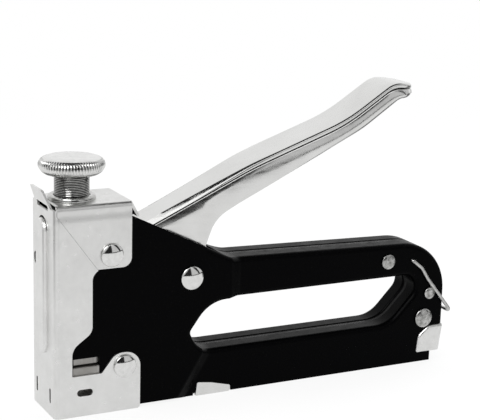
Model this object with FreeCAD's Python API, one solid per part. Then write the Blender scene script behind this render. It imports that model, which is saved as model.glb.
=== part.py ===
"""Hand staple gun: pressed two-half body, plated nose, lever handle, rear-loading magazine.

Frame: X runs from the nose front (X = 0) to the heel, Y across, Z up, with Z = 0 on the nose's lower
edge and Y = 0 in the seam between the half shells. All sizes are millimetres and degrees.
"""
import FreeCAD, Part
import math
import os

# ------------------------------------------------------------------ fits
fit_gap = 0.05               # pin in hole, radial
slide_gap = 0.3              # sliding and swinging faces
sheet_gap = 0.05             # sheets laid on each other
seam_gap = 0.3               # between the two half shells

# ------------------------------------------------------------------ body half shells
body_length = 194.8          # nose front to the rear face of the shells
block_half_width = 13.0      # front block, outside face
grip_half_width = 10.0       # grip and rear, outside face
shell_sheet = 1.2
shell_bend = 2.4             # outside radius of the pressed edges
block_bottom_z = 1.2         # lower edge of the front block
rear_bottom_z = 0.0          # lower edge behind the front block
shell_front_x = 3.2          # front edge, inside the nose cover
grip_top_z = 60.6            # top of the grip at its front end
grip_fall = 1.6              # fall of the grip's top towards the rear, degrees
heel_radius = 24.0           # large round corner at the top rear
slope_angle = 26.2           # fall of the block's slanted top edge, degrees
slope_foot_x = 82.8          # where the slanted edge meets the grip
slope_foot_radius = 18.0
handle_slot_end_x = 76.8     # rear end of the slot that the handle comes out of
slot_bend_x = 69.0           # behind this the slot's edges are bent inward
joggle_foot_x = 58.2         # step from block to grip below the finger hole's top: its middle at Z = 0
joggle_angle = 58.4          # its rise above the horizontal, degrees
joggle_top_x = 84.0          # the step's middle along the upright part above the hole
joggle_run = 5.2             # its length along the face
joggle_round = 3.0

# ------------------------------------------------------------------ finger hole
hole_top_z = 42.75
hole_bottom_z = 20.15
hole_front_x = 62.2          # foremost corner, before rounding
hole_front_z = 29.8
hole_setback = 8.0           # rear top corner, before rounding, to the rear face of the shells
hole_slope = 46.0            # rise of the hole's slanted rear end, degrees
hole_front_slope = 54.0      # rise of its front end, degrees
hole_front_radius = 16.0
hole_toe_radius = 12.0
hole_heel_radius = 15.0
hole_rear_radius = 6.0

# ------------------------------------------------------------------ nose cover and top cap
cover_sheet = 1.0
cover_bend = 2.3
cover_rear_x = 38.2
cap_top_z = 90.8
cap_rear_x = 33.9
cap_bend = 2.0
flap_bottom_z = 63.1
flap_corner_radius = 4.0
seam_top_z = 86.9            # diagonal seam between the cover and the cap's flap
seam_foot_x = 18.8
waist_x = 16.6               # rear edge of the cover between flap and window
window_front_x = 7.7
window_rear_x = 20.8
window_bottom_z = 17.8
window_shoulder_z = 29.9     # where the edge turns back to the waist
bead_width = 10.4
bead_rise = 1.7
bead_bottom_z = 25.5
bead_top_z = 83.8
bead_lance = 0.8             # open crescent over the bead's upper end
slit_offset = 8.2
slit_width = 1.6
slit_bottom_z = 5.6
slit_height = 6.6
side_slot_x = 13.3
side_slot_z = 10.3
side_slot_length = 7.0
side_slot_height = 3.0
front_hole_y = 8.9
front_hole_z = 64.6
front_hole_radius = 2.0
front_hole_height = 5.2
front_top_z = 89.2           # upper edge of the cover's front
tab_base_half_width = 9.5
tab_top_half_width = 7.0
tab_height = 7.5
tab_lean = 22.0              # degrees forward
tab_slot_drop = 1.4          # its slot below the cover's upper edge
tab_slot_height = 2.3
lip_drop = 7.0
lip_lean = 28.0              # degrees rearward
lip_half_width = 12.0

# ------------------------------------------------------------------ knob, bush and power spring
knob_x = 12.7
knob_radius = 13.7
knob_bottom_z = 102.3
knob_height = 6.0
knob_flutes = 66
flute_depth = 0.6
knob_rim = 2.7               # rounding of the disc's upper edge
knob_foot_rise = 2.1         # height of the slope under the fluted belt
knob_foot_slope = 2.3        # width of that slope
screw_radius = 7.4
screw_length = 20.5
thread_pitch = 1.0
thread_depth = 0.5
bush_radius = 10.0
bush_flange = 2.0
bush_wall = 1.6
bush_depth = 7.5             # below the cap's top
spring_radius = 4.7          # mean radius of the power spring
spring_wire = 1.8
spring_turns = 15
spring_bore_radius = 6.1
seat_thickness = 1.4

# ------------------------------------------------------------------ striker and nose guide
guide_front_x = 2.45
guide_rear_x = 20.0
guide_top_z = 21.3
guide_bottom_z = 0.6
guide_sheet = 1.5
bumper_thickness = 0.6
striker_front_x = 6.0
striker_wall = 1.2           # behind the spring's bore
striker_half_width = 11.3
striker_foot_front_x = 9.2
striker_foot_height = 4.0
striker_top_z = 48.1
striker_seat_z = 30.0        # where the power spring stands
lug_overhang = 0.6           # lug's rear edge past the lifting bar's axis
lug_height = 2.5
lug_half_width = 5.5
blade_sheet = 0.9
blade_half_width = 5.5
blade_bottom_z = 1.0
blade_top_z = 42.0

# ------------------------------------------------------------------ handle and lift arm
pivot_x = 62.0
pivot_z = 54.8
handle_half_width = 10.6     # outside of the bead along the top
handle_wall_half_width = 9.9 # outside of the walls below the bead
handle_groove_half_width = 9.2  # bottom of the groove between bead and wall
handle_groove_height = 0.8
handle_sheet = 1.2
handle_bead_height = 2.2
handle_round = 0.9
handle_tip_round = 9.6       # rounding of the tip seen from above
handle_tip_bend = 3.6        # rounding of the tip seen from the side
handle_setback = 19.5        # the handle's tip to the rear face of the shells, along X
swing_gap = 0.7              # arm's tip to the striker, where they come closest
arm_drop = 11.0              # pivot to lifting bar, down
arm_sheet = 2.0
lift_bar_radius = 1.8
hub_radius = 8.0
arm_hub_radius = 7.5
arm_tip_radius = 2.6
sleeve_radius = 4.0
washer_radius = 7.0
return_wire = 1.2
return_turns = 6
return_long_leg = 27.0
return_short_leg = 14.0
return_leg_turn = 24.0       # turn of the spring's legs about the pivot, degrees

# ------------------------------------------------------------------ magazine
channel_sheet = 1.0
channel_bottom_z = 1.0
channel_top_z = 15.6
channel_setback = 8.05        # rear end to the rear face of the shells
rail_half_width = 5.2
rail_sheet = 0.8
rail_top_z = 8.4
rail_front_x = 4.6
rail_setback = 16.8
rod_radius = 2.0
rod_z = 12.0
follower_front_x = 24.6
follower_length = 12.0
follower_spring_wire = 0.7
follower_spring_turns = 46
heel_setback = 6.55           # the shells' lower rear corner, cut back for the end cap
end_cap_setback = 14.55       # front edge of the cap to the rear face of the shells
end_cap_bottom_z = 4.5
end_cap_top_z = 17.4
end_cap_sheet = 0.9
end_cap_lean = 1.7           # the rear wall's lean over its height
end_cap_inset = 0.3          # its rear wall in front of the shells' rear face

# ------------------------------------------------------------------ rivets: (x, z, dome radius, dome height)
cap_rivet = (25.1, 68.8, 4.8, 2.3)
nose_rivet = (31.1, 19.8, 4.8, 2.3)
pivot_rivet = (pivot_x, pivot_z, 5.1, 2.4)
grip_rivet_setback = 32.3     # to the rear face of the shells
small_rivet_setback = 8.7
rear_rivet_setback = 11.4
grip_rivet = (body_length - grip_rivet_setback, 50.8, 3.4, 1.6)
small_rivet = (body_length - small_rivet_setback, 33.3, 2.7, 1.3)
rear_rivet = (body_length - rear_rivet_setback, 21.5, 4.5, 2.1)
shank_share = 0.48           # shank radius over dome radius
spacer_wall = 1.0

# ------------------------------------------------------------------ wire bail
bail_setback = 19.2          # its pins to the rear face of the shells
bail_z = 50.2
bail_wire = 1.6
bail_pin = 3.0
bail_pin_bend = 1.0
bail_overhang = 3.7          # its bar behind the rear face of the shells
bail_bar_z = 23.0
bail_corner = 4.0
bail_bends = ((5.2, -4.2, 5.0), (8.5, -9.4, 6.0))   # slight bends: (x, z) from the pins, radius

# ------------------------------------------------------------------ saddle clip
saddle_front_x = 66.0
saddle_rear_x = 82.4
saddle_sheet = 0.9
saddle_front_z = 6.2
saddle_rear_z = 2.9

# ------------------------------------------------------------------ derived places
hole_rear_x = body_length - hole_setback
heel_x = body_length - heel_setback
channel_rear_x = body_length - channel_setback
rail_rear_x = body_length - rail_setback
end_cap_front_x = body_length - end_cap_setback
bail_x = body_length - bail_setback
bail_bar_x = body_length + bail_overhang
cover_inside = block_half_width + sheet_gap
cover_half_width = cover_inside + cover_sheet
cap_inside_z = cap_top_z - cover_sheet
shell_top_z = cap_inside_z - (cap_bend - cover_sheet) - sheet_gap
slope = math.tan(math.radians(slope_angle))
fall = math.tan(math.radians(grip_fall))
shell_inside = block_half_width - shell_sheet
grip_inside = grip_half_width - shell_sheet
striker_bottom_z = guide_top_z + bumper_thickness + sheet_gap
striker_rear_x = knob_x + spring_bore_radius + striker_wall
arm_swing = pivot_x - striker_rear_x - swing_gap - arm_tip_radius   # radius of the bar's path
lift_bar_x = pivot_x - math.sqrt(arm_swing ** 2 - arm_drop ** 2)
lift_bar_z = pivot_z - arm_drop
lug_bottom_z = lift_bar_z + lift_bar_radius + slide_gap
screw_bottom_z = knob_bottom_z - screw_length
bore_top_z = knob_bottom_z - 1.8
seat_bottom_z = bore_top_z - seat_thickness
channel_half_width = grip_inside - slide_gap
channel_room = channel_half_width - channel_sheet
channel_floor_z = channel_bottom_z + channel_sheet
arm_half_width = handle_wall_half_width - handle_sheet - sheet_gap
follower_rear_x = follower_front_x + follower_length
end_cap_rear_x = body_length - end_cap_inset
block_front_x = heel_x + slide_gap
end_cap_half_width = grip_half_width + slide_gap / 2 + end_cap_sheet


# ------------------------------------------------------------------ helpers
def at(x, y, z):
    return FreeCAD.Vector(x, y, z)


def rounded_path(corners, closed):
    """A wire of straight runs with an arc at each corner; corners are (vector, radius)."""
    count = len(corners)
    stops = []
    for index, (corner, radius) in enumerate(corners):
        is_end = not closed and index in (0, count - 1)
        if is_end or radius == 0:
            stops.append((corner, None, corner))
            continue
        back = (corners[index - 1][0] - corner).normalize()
        ahead = (corners[(index + 1) % count][0] - corner).normalize()
        half = back.getAngle(ahead) / 2
        reach = radius / math.tan(half)
        centre = corner + (back + ahead).normalize() * (radius / math.sin(half))
        middle = centre + (corner - centre).normalize() * radius
        stops.append((corner + back * reach, middle, corner + ahead * reach))
    edges = []
    for index, (entry, middle, leave) in enumerate(stops):
        if middle is not None:
            edges.append(Part.Arc(entry, middle, leave).toShape())
        last = index == count - 1
        if last and not closed:
            break
        following = stops[(index + 1) % count][0]
        if leave.distanceToPoint(following) > 1e-6:
            edges.append(Part.LineSegment(leave, following).toShape())
    return Part.Wire(edges)


def side_face(corners):
    """A face in the XZ plane from (x, z, radius) corners."""
    return Part.Face(rounded_path([(at(x, 0, z), radius) for x, z, radius in corners], True))


def across(face, y_from, y_to):
    """A face of the XZ plane extruded across the tool."""
    return face.translated(at(0, y_from, 0)).extrude(at(0, y_to - y_from, 0))


def plate(corners, y_from, y_to):
    return across(side_face(corners), y_from, y_to)


def box(x_from, x_to, y_from, y_to, z_from, z_to):
    return Part.makeBox(x_to - x_from, y_to - y_from, z_to - z_from, at(x_from, y_from, z_from))


def rod_y(x, z, radius, y_from, y_to):
    return Part.makeCylinder(radius, y_to - y_from, at(x, y_from, z), at(0, 1, 0))


def rod_x(y, z, radius, x_from, x_to):
    return Part.makeCylinder(radius, x_to - x_from, at(x_from, y, z), at(1, 0, 0))


def rod_z_axis(x, radius, z_from, z_to):
    return Part.makeCylinder(radius, z_to - z_from, at(x, 0, z_from))


def mirrored(shape):
    return shape.mirror(at(0, 0, 0), at(0, 1, 0))


def swept(path, wire_diameter):
    """Round wire along a path."""
    start = path.OrderedVertexes[0].Point
    heading = path.OrderedEdges[0].tangentAt(path.OrderedEdges[0].FirstParameter)
    ring = Part.Wire(Part.makeCircle(wire_diameter / 2, start, heading))
    return path.makePipeShell([ring], True, False)


def coil(radius, wire_diameter, length, turns):
    """A coil standing on Z = 0 with its axis on Z."""
    pitch = (length - wire_diameter) / turns
    helix = Part.makeHelix(pitch, length - wire_diameter, radius)
    start = at(radius, 0, 0)
    ring = Part.Wire(Part.makeCircle(wire_diameter / 2, start, at(0, 1, 0)))
    spring = Part.Wire(helix.Edges).makePipeShell([ring], True, True)
    return spring.translated(at(0, 0, wire_diameter / 2))


def shank(rivet):
    return rivet[2] * shank_share


def shank_hole(rivet):
    """Cutter for the hole that a rivet's shank passes through."""
    reach = cover_half_width + 1
    return rod_y(rivet[0], rivet[1], shank(rivet) + fit_gap, -reach, reach)


# ------------------------------------------------------------------ body half shells
def grip_line(x):
    return grip_top_z - (x - slope_foot_x) * fall


def slope_line(x):
    return grip_line(slope_foot_x) + (slope_foot_x - x) * slope


def body_face():
    """Side outline of a half shell, without the finger hole."""
    slope_head_x = cap_rear_x - cover_sheet
    step_z = end_cap_top_z + sheet_gap
    window_head_z = window_bottom_z + 7.2
    return side_face([
        (guide_rear_x + sheet_gap, block_bottom_z, 0),
        (joggle_foot_x - joggle_run / 2, block_bottom_z, 0),
        (joggle_foot_x + joggle_run / 2, rear_bottom_z, 0),
        (heel_x, rear_bottom_z, 0),
        (heel_x, step_z, 0),
        (body_length, step_z, 0),
        (body_length, grip_line(body_length), heel_radius),
        (slope_foot_x, grip_top_z, slope_foot_radius),
        (slope_head_x, slope_line(slope_head_x), 0),
        (slope_head_x, shell_top_z, 0),
        (shell_front_x, shell_top_z, 0),
        (shell_front_x, window_head_z, 0),
        (guide_rear_x + sheet_gap, window_head_z, 0),
    ])


def hole_face():
    """The finger hole: flat top and bottom, slanted rounded ends."""
    rise = math.tan(math.radians(hole_slope))
    front_rise = math.tan(math.radians(hole_front_slope))
    top_front_x = hole_front_x + (hole_top_z - hole_front_z) / front_rise
    toe_x = hole_front_x + (hole_front_z - hole_bottom_z) / 2
    heel_bottom_x = hole_rear_x - (hole_top_z - hole_bottom_z) / rise
    return side_face([
        (toe_x, hole_bottom_z, hole_toe_radius),
        (heel_bottom_x, hole_bottom_z, hole_heel_radius),
        (hole_rear_x, hole_top_z, hole_rear_radius),
        (top_front_x, hole_top_z, hole_front_radius),
        (hole_front_x, hole_front_z, 2.5),
    ])


def joggle_line(setback, foot_x, rise_degrees):
    """Clears the room behind a straight step line and outside the grip's face."""
    outer = block_half_width - setback
    inner = grip_half_width - setback
    lead = setback * math.tan(math.atan2(outer - inner, joggle_run) / 2)
    start = -joggle_run / 2 + lead
    end = joggle_run / 2 + lead
    angle = math.radians(rise_degrees)
    along = at(math.cos(angle), 0, math.sin(angle))
    behind = at(math.sin(angle), 0, -math.cos(angle))
    foot = at(foot_x, 0, 0) - along * body_length
    section = [(start, -2 * outer), (start, -outer), (end, -inner), (body_length, -inner),
               (body_length, -2 * outer)]
    corners = [(foot + behind * distance + at(0, y, 0), 0) for distance, y in section]
    return Part.Face(rounded_path(corners, True)).extrude(along * (2 * body_length))


def joggle_cutters(setback):
    """The step from block to grip: sloping below the finger hole's top, upright above it."""
    return [joggle_line(setback, joggle_foot_x, joggle_angle), joggle_line(setback, joggle_top_x, 90)]


def is_joggle_edge(edge):
    """True for the lines along the two sides of the step."""
    if not isinstance(edge.Curve, Part.Line):
        return False
    middle = edge.CenterOfMass
    if middle.y > -grip_half_width + 0.01 or middle.x > joggle_top_x + joggle_run:
        return False
    heading = (edge.Vertexes[-1].Point - edge.Vertexes[0].Point).normalize()
    if middle.z > hole_top_z:
        return abs(heading.z) > 0.9999 and middle.x > joggle_top_x - joggle_run
    angle = math.radians(joggle_angle)
    return abs(heading.dot(at(math.cos(angle), 0, math.sin(angle)))) > 0.9999


def is_pressed_edge(edge):
    """True for the outer edge of a flange: round the hole, along the grip and down the heel."""
    middle = edge.valueAt((edge.FirstParameter + edge.LastParameter) / 2)
    if middle.y > -grip_half_width + 0.2:
        return False
    if middle.z < end_cap_top_z + 1:
        return False
    in_slot = middle.x < slot_bend_x and middle.z > hole_top_z + 2
    return middle.x > hole_front_x - 1 and not in_slot


def half_shell():
    """The near half shell, a pressed dish that is open at the bottom, nose and handle slot."""
    depth = -seam_gap / 2
    solid = across(body_face().cut(hole_face()), -block_half_width, depth)
    solid = solid.cut(joggle_cutters(0))
    solid = solid.makeFillet(joggle_round, [edge for edge in solid.Edges if is_joggle_edge(edge)])
    slot_side = solid.common(box(0, slot_bend_x, -block_half_width, depth,
                                 hole_top_z + shell_bend * 2, cap_top_z))
    pressed = solid.makeFillet(shell_bend, [edge for edge in solid.Edges if is_pressed_edge(edge)])
    pressed = pressed.fuse(slot_side)

    inside = body_face().makeOffset2D(-shell_sheet)
    cavity = across(inside, -shell_inside, 0)
    low_opening = box(-1, body_length - shell_sheet, -shell_inside, 0, -1, end_cap_top_z + 2)
    front_opening = box(-1, guide_rear_x + 2 * shell_sheet, -shell_inside, 0, -1, cap_top_z)
    slot_low_z = hole_top_z + shell_bend * 2
    slot_opening = box(-1, slot_bend_x, -shell_inside, 0, slot_low_z, cap_top_z)
    slot_end = box(-1, handle_slot_end_x, -handle_half_width - slide_gap, 0, slot_low_z, cap_top_z)
    cavity = cavity.fuse([low_opening, front_opening, slot_opening, slot_end])
    cavity = cavity.cut(across(hole_face().makeOffset2D(shell_sheet), -block_half_width, 1))
    cavity = cavity.cut(joggle_cutters(shell_sheet))
    shell = pressed.cut(cavity)

    cutters = [shank_hole(rivet) for rivet in
               (cap_rivet, nose_rivet, pivot_rivet, grip_rivet, small_rivet, rear_rivet)]
    cutters.append(rod_y(bail_x, bail_z, bail_wire / 2 + fit_gap, -block_half_width, 0))
    cutters.append(box(saddle_front_x - 1, saddle_rear_x + 1, -block_half_width, 0,
                       -1, channel_bottom_z + sheet_gap))
    return shell.cut(cutters).removeSplitter()


# ------------------------------------------------------------------ nose cover and top cap
def seam_cutter(gap):
    """Everything behind and above the diagonal seam, moved rearward by a gap."""
    rise = (seam_top_z - flap_bottom_z) / (seam_foot_x - 1.2)
    low_x = seam_foot_x + 4 + gap
    return plate([
        (1.2 + gap, cap_top_z + 4, 0), (1.2 + gap, seam_top_z, 0),
        (low_x, flap_bottom_z - 4 * rise, 0),
        (cover_rear_x + 10, flap_bottom_z - 4 * rise, 0), (cover_rear_x + 10, cap_top_z + 4, 0),
    ], -cover_half_width - 1, cover_half_width + 1)


def folded_sheet(front_x, rear_x, z_from, z_to, half_width, sheet, bend):
    """A front wall and two side walls bent from one sheet, open to the rear."""
    outer = box(front_x, rear_x, -half_width, half_width, z_from, z_to)
    uprights = [edge for edge in outer.Edges if abs(edge.CenterOfMass.x - front_x) < 1e-6
                and abs(abs(edge.CenterOfMass.y) - half_width) < 1e-6]
    outer = outer.makeFillet(bend, uprights)
    inner = box(front_x + sheet, rear_x + 1, -half_width + sheet, half_width - sheet,
                z_from - 1, z_to + 1)
    uprights = [edge for edge in inner.Edges if abs(edge.CenterOfMass.x - front_x - sheet) < 1e-6
                and abs(abs(edge.CenterOfMass.y) - half_width + sheet) < 1e-6]
    inner = inner.makeFillet(bend - sheet, uprights)
    return outer.cut(inner)


def front_face(corners):
    """A face in the YZ plane from (y, z, radius) corners."""
    return Part.Face(rounded_path([(at(0, y, z), radius) for y, z, radius in corners], True))


def stadium(y, z_from, z_to, half_width):
    """A YZ face with fully rounded ends."""
    radius = half_width * 0.999
    return front_face([(y - half_width, z_from, radius), (y + half_width, z_from, radius),
                       (y + half_width, z_to, radius), (y - half_width, z_to, radius)])


def front_bead():
    """The raised upright rib on the cover's front: the solid, its hollow and the slot lanced over it."""
    rib = stadium(0, bead_bottom_z, bead_top_z, bead_width / 2)
    rib = rib.translated(at(0.5, 0, 0)).extrude(at(-bead_rise - 0.5, 0, 0))
    rim = [edge for edge in rib.Edges if abs(edge.BoundBox.XMin + bead_rise) < 1e-6
           and abs(edge.BoundBox.XMax + bead_rise) < 1e-6]
    rib = rib.makeFillet(bead_rise * 0.9, rim)
    hollow = stadium(0, bead_bottom_z + cover_sheet, bead_top_z - cover_sheet,
                     bead_width / 2 - cover_sheet)
    hollow = hollow.translated(at(cover_sheet + 0.5, 0, 0)).extrude(at(-bead_rise - 0.5, 0, 0))
    lance = stadium(0, bead_bottom_z, bead_top_z + bead_lance, bead_width / 2 + bead_lance)
    lance = lance.translated(at(-1, 0, 0)).extrude(at(cover_sheet + 2, 0, 0))
    below = box(-2, cover_sheet + 2, -bead_width, bead_width, 0, bead_top_z - bead_width * 0.42)
    return rib, hollow, lance.cut([rib, below])


def top_tab():
    """The cover's front tab, which leans forward over a slot at its root."""
    lean = math.tan(math.radians(tab_lean))
    root_z = front_top_z - 0.5
    outline = front_face([(-tab_base_half_width, root_z, 0), (tab_base_half_width, root_z, 0),
                          (tab_top_half_width, front_top_z + tab_height, 2.0),
                          (-tab_top_half_width, front_top_z + tab_height, 2.0)])
    block = outline.translated(at(-tab_height, 0, 0)).extrude(at(2 * tab_height, 0, 0))
    top_z = front_top_z + tab_height + 1
    shift = (top_z - front_top_z) * lean
    leaning = plate([(0, root_z - 1, 0), (cover_sheet, root_z - 1, 0), (cover_sheet, front_top_z, 0.4),
                     (cover_sheet - shift, top_z, 0), (-shift, top_z, 0), (0, front_top_z, 1.2)],
                    -tab_base_half_width - 1, tab_base_half_width + 1)
    slot_z = front_top_z - tab_slot_drop
    slot = box(-3, 3, -6.5, 6.5, slot_z, slot_z + tab_slot_height)
    return block.common(leaning), slot


def nose_cover():
    sheet = folded_sheet(0, cover_rear_x, 0, front_top_z, cover_half_width, cover_sheet, cover_bend)
    ear_radius = cover_rear_x - nose_rivet[0] - 0.2
    ear_top_z = nose_rivet[1] + ear_radius - 0.9
    shoulder_x = waist_x - window_front_x
    outline = plate([
        (-5, 0, 0),
        (cover_rear_x, 0, 1.3),
        (cover_rear_x, ear_top_z, ear_radius * 0.99),
        (window_rear_x + (ear_top_z - window_bottom_z) * 0.78, ear_top_z, ear_radius * 0.9),
        (window_rear_x, window_bottom_z, 0.4),
        (window_front_x, window_bottom_z, 0.4),
        (window_front_x, window_shoulder_z, 6.0),
        (waist_x, window_shoulder_z + shoulder_x * 0.72, 5.0),
        (waist_x, flap_bottom_z, 4.6),
        (cover_rear_x, flap_bottom_z, 0),
        (cover_rear_x, cap_top_z + 5, 0),
        (-5, cap_top_z + 5, 0),
    ], -cover_half_width - 1, cover_half_width + 1)
    cover = sheet.common(outline).cut(seam_cutter(0))
    rib, hollow, lance = front_bead()
    tab, tab_slot = top_tab()
    cutters = [hollow, lance, tab_slot, shank_hole(nose_rivet)]
    for side in (-1, 1):
        slit = stadium(side * slit_offset, slit_bottom_z, slit_bottom_z + slit_height, slit_width / 2)
        cutters.append(slit.translated(at(-1, 0, 0)).extrude(at(3, 0, 0)))
    small_hole = stadium(front_hole_y, front_hole_z - front_hole_height / 2,
                         front_hole_z + front_hole_height / 2, front_hole_radius)
    cutters.append(small_hole.translated(at(-1, 0, 0)).extrude(at(3, 0, 0)))
    cutters.append(side_slot(0))
    return cover.fuse([rib, tab]).cut(cutters).removeSplitter()


def side_slot(margin):
    """Cutter for the oval slot through the nose's sides."""
    half_length = side_slot_length / 2 + margin
    half_height = side_slot_height / 2 + margin
    radius = half_height * 0.999
    return plate([(side_slot_x - half_length, side_slot_z - half_height, radius),
                  (side_slot_x + half_length, side_slot_z - half_height, radius),
                  (side_slot_x + half_length, side_slot_z + half_height, radius),
                  (side_slot_x - half_length, side_slot_z + half_height, radius)],
                 -cover_half_width - 1, cover_half_width + 1)


def top_cap():
    """Inverted channel over the nose, with a turned-down lip at its rear."""
    front_x = 2.6
    outer = box(0, cap_rear_x, -cover_half_width, cover_half_width, flap_bottom_z, cap_top_z)
    shoulders = [edge for edge in outer.Edges if abs(edge.CenterOfMass.z - cap_top_z) < 1e-6
                 and abs(abs(edge.CenterOfMass.y) - cover_half_width) < 1e-6]
    outer = outer.makeFillet(cap_bend, shoulders)
    inner = box(-1, cap_rear_x + 1, -cover_inside, cover_inside, flap_bottom_z - 1, cap_inside_z)
    shoulders = [edge for edge in inner.Edges if abs(edge.CenterOfMass.z - cap_inside_z) < 1e-6
                 and abs(abs(edge.CenterOfMass.y) - cover_inside) < 1e-6]
    inner = inner.makeFillet(cap_bend - cover_sheet, shoulders)
    flap = plate([(-1, flap_bottom_z, 0), (cap_rear_x, flap_bottom_z, flap_corner_radius),
                  (cap_rear_x, cap_top_z + 1, 0), (-1, cap_top_z + 1, 0)],
                 -cover_half_width - 1, cover_half_width + 1)
    cap = outer.cut(inner).common(flap).common(seam_cutter(2 * sheet_gap))
    cap = cap.cut(box(-1, front_x, -cover_half_width + cap_bend, cover_half_width - cap_bend,
                      cap_inside_z - 2, cap_top_z + 1))
    lean = math.tan(math.radians(lip_lean))
    lip_z = cap_top_z - lip_drop
    lip = plate([(cap_rear_x - 1, cap_top_z, 0), (cap_rear_x + 0.5, cap_top_z, 1.0),
                 (cap_rear_x + 0.5 + lip_drop * lean, lip_z, 0.3),
                 (cap_rear_x - 0.6 + lip_drop * lean, lip_z - 0.2, 0.3),
                 (cap_rear_x - 0.4, cap_inside_z, 0), (cap_rear_x - 1, cap_inside_z, 0)],
                -lip_half_width, lip_half_width)
    bush_hole = rod_z_axis(knob_x, screw_radius + bush_wall + 2 * fit_gap, cap_inside_z - 1, cap_top_z + 1)
    return cap.fuse(lip).cut([bush_hole, shank_hole(cap_rivet)]).removeSplitter()


# ------------------------------------------------------------------ adjusting knob and power spring
def threaded_bush():
    """Flanged bush that the hollow screw turns in."""
    flange = rod_z_axis(knob_x, bush_radius, cap_top_z, cap_top_z + bush_flange)
    rim = [edge for edge in flange.Edges if abs(edge.CenterOfMass.z - cap_top_z - bush_flange) < 1e-6]
    flange = flange.makeFillet(bush_flange * 0.45, rim)
    tube = rod_z_axis(knob_x, screw_radius + bush_wall, cap_top_z - bush_depth, cap_top_z + 0.5)
    bore = rod_z_axis(knob_x, screw_radius + fit_gap, cap_top_z - bush_depth - 1, cap_top_z + 9)
    return flange.fuse(tube).cut(bore)


def screw_body():
    """Hollow screw with a fine thread, turned about the knob's axis."""
    root = screw_radius - thread_depth
    ring_count = int(screw_length / thread_pitch)
    profile = [(spring_bore_radius, screw_bottom_z), (root, screw_bottom_z)]
    for ring in range(ring_count):
        base_z = screw_bottom_z + ring * thread_pitch
        profile.append((screw_radius, base_z + thread_pitch * 0.4))
        profile.append((screw_radius, base_z + thread_pitch * 0.6))
        profile.append((root, base_z + thread_pitch))
    profile.append((root, knob_bottom_z + 0.5))
    profile.append((spring_bore_radius, knob_bottom_z + 0.5))
    corners = [(at(knob_x + radius, 0, z), 0) for radius, z in profile]
    face = Part.Face(rounded_path(corners, True))
    return face.revolve(at(knob_x, 0, 0), at(0, 0, 1), 360)


def adjusting_knob():
    """Fluted disc on top of the hollow screw; the screw's bore ends inside the disc's foot."""
    corners = []
    for flute in range(2 * knob_flutes):
        radius = knob_radius - flute_depth * (flute % 2)
        angle = math.pi * flute / knob_flutes
        corners.append((at(knob_x + radius * math.cos(angle), radius * math.sin(angle), knob_bottom_z), 0))
    disc = Part.Face(rounded_path(corners, True)).extrude(at(0, 0, knob_height))
    top_z = knob_bottom_z + knob_height
    rim = [(0, knob_bottom_z, 0), (knob_radius - knob_foot_slope, knob_bottom_z, 0.4),
           (knob_radius + 0.01, knob_bottom_z + knob_foot_rise, 1.8), (knob_radius + 0.01, top_z, knob_rim),
           (0, top_z, 0)]
    turned = Part.Face(rounded_path([(at(knob_x + radius, 0, z), bend) for radius, z, bend in rim], True))
    turned = turned.revolve(at(knob_x, 0, 0), at(0, 0, 1), 360)
    foot = rod_z_axis(knob_x, screw_radius - thread_depth, bore_top_z, knob_bottom_z + 0.5)
    return disc.common(turned).fuse([screw_body(), foot]).removeSplitter()


def spring_seat():
    """Washer with a spigot that centres the power spring in the screw."""
    disc = rod_z_axis(knob_x, spring_bore_radius - fit_gap, seat_bottom_z, bore_top_z - sheet_gap)
    spigot_radius = spring_radius - spring_wire / 2 - slide_gap
    return disc.fuse(rod_z_axis(knob_x, spigot_radius, seat_bottom_z - 4, seat_bottom_z))


def main_spring():
    length = seat_bottom_z - striker_seat_z - 2 * sheet_gap
    spring = coil(spring_radius, spring_wire, length, spring_turns)
    return spring.translated(at(knob_x, 0, striker_seat_z + sheet_gap))


# ------------------------------------------------------------------ striker, blade and nose guide
def striker():
    """Cup-shaped hammer: the power spring stands in its bore, the lift arm's bar under its rear lug."""
    body = box(striker_front_x, striker_rear_x, -striker_half_width, striker_half_width,
               striker_bottom_z + striker_foot_height, striker_top_z)
    uprights = [edge for edge in body.Edges if edge.BoundBox.ZLength > 5]
    body = body.makeChamfer(1.0, uprights)
    foot = box(striker_foot_front_x, striker_rear_x, -striker_half_width, striker_half_width,
               striker_bottom_z, striker_bottom_z + striker_foot_height)
    lug = box(striker_rear_x - 1, lift_bar_x + lug_overhang, -lug_half_width, lug_half_width,
              lug_bottom_z, lug_bottom_z + lug_height)
    tongue = box(guide_front_x - slide_gap + sheet_gap, striker_front_x + 1, -4.5, 4.5,
                 blade_top_z - 6, blade_top_z - 1)
    bore = rod_z_axis(knob_x, spring_bore_radius, striker_seat_z, striker_top_z + 10)
    return body.fuse([foot, lug, tongue]).cut(bore).removeSplitter()


def blade_rear_x():
    return guide_front_x - slide_gap


def driver_blade():
    """Flat blade on the striker's tongue, behind the nose's front."""
    return box(blade_rear_x() - blade_sheet, blade_rear_x(), -blade_half_width, blade_half_width,
               blade_bottom_z, blade_top_z)


def nose_guide():
    """Box-shaped guide at the magazine's mouth; its top shows in the cover's windows."""
    half_width = cover_inside - 2 * sheet_gap
    outer = box(guide_front_x, guide_rear_x, -half_width, half_width, guide_bottom_z, guide_top_z)
    upper = [edge for edge in outer.Edges if edge.BoundBox.ZMin > guide_top_z - 0.01
             and abs(abs(edge.CenterOfMass.y) - half_width) < 1e-6]
    outer = outer.makeFillet(0.6, upper)
    room = box(guide_front_x + guide_sheet, guide_rear_x + 1, -half_width + guide_sheet,
               half_width - guide_sheet, guide_bottom_z - 1, guide_top_z - guide_sheet)
    front_strip = box(guide_front_x - 1, window_front_x + 0.7, -half_width - 1, -half_width + 0.7,
                      window_bottom_z, guide_top_z + 1)
    mouth = box(guide_front_x - 1, guide_front_x + 3, -blade_half_width - 1, blade_half_width + 1,
                guide_bottom_z - 1, rail_top_z + 1.2)
    return outer.cut([room, front_strip, mirrored(front_strip), mouth, side_slot(1.2)])


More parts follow.
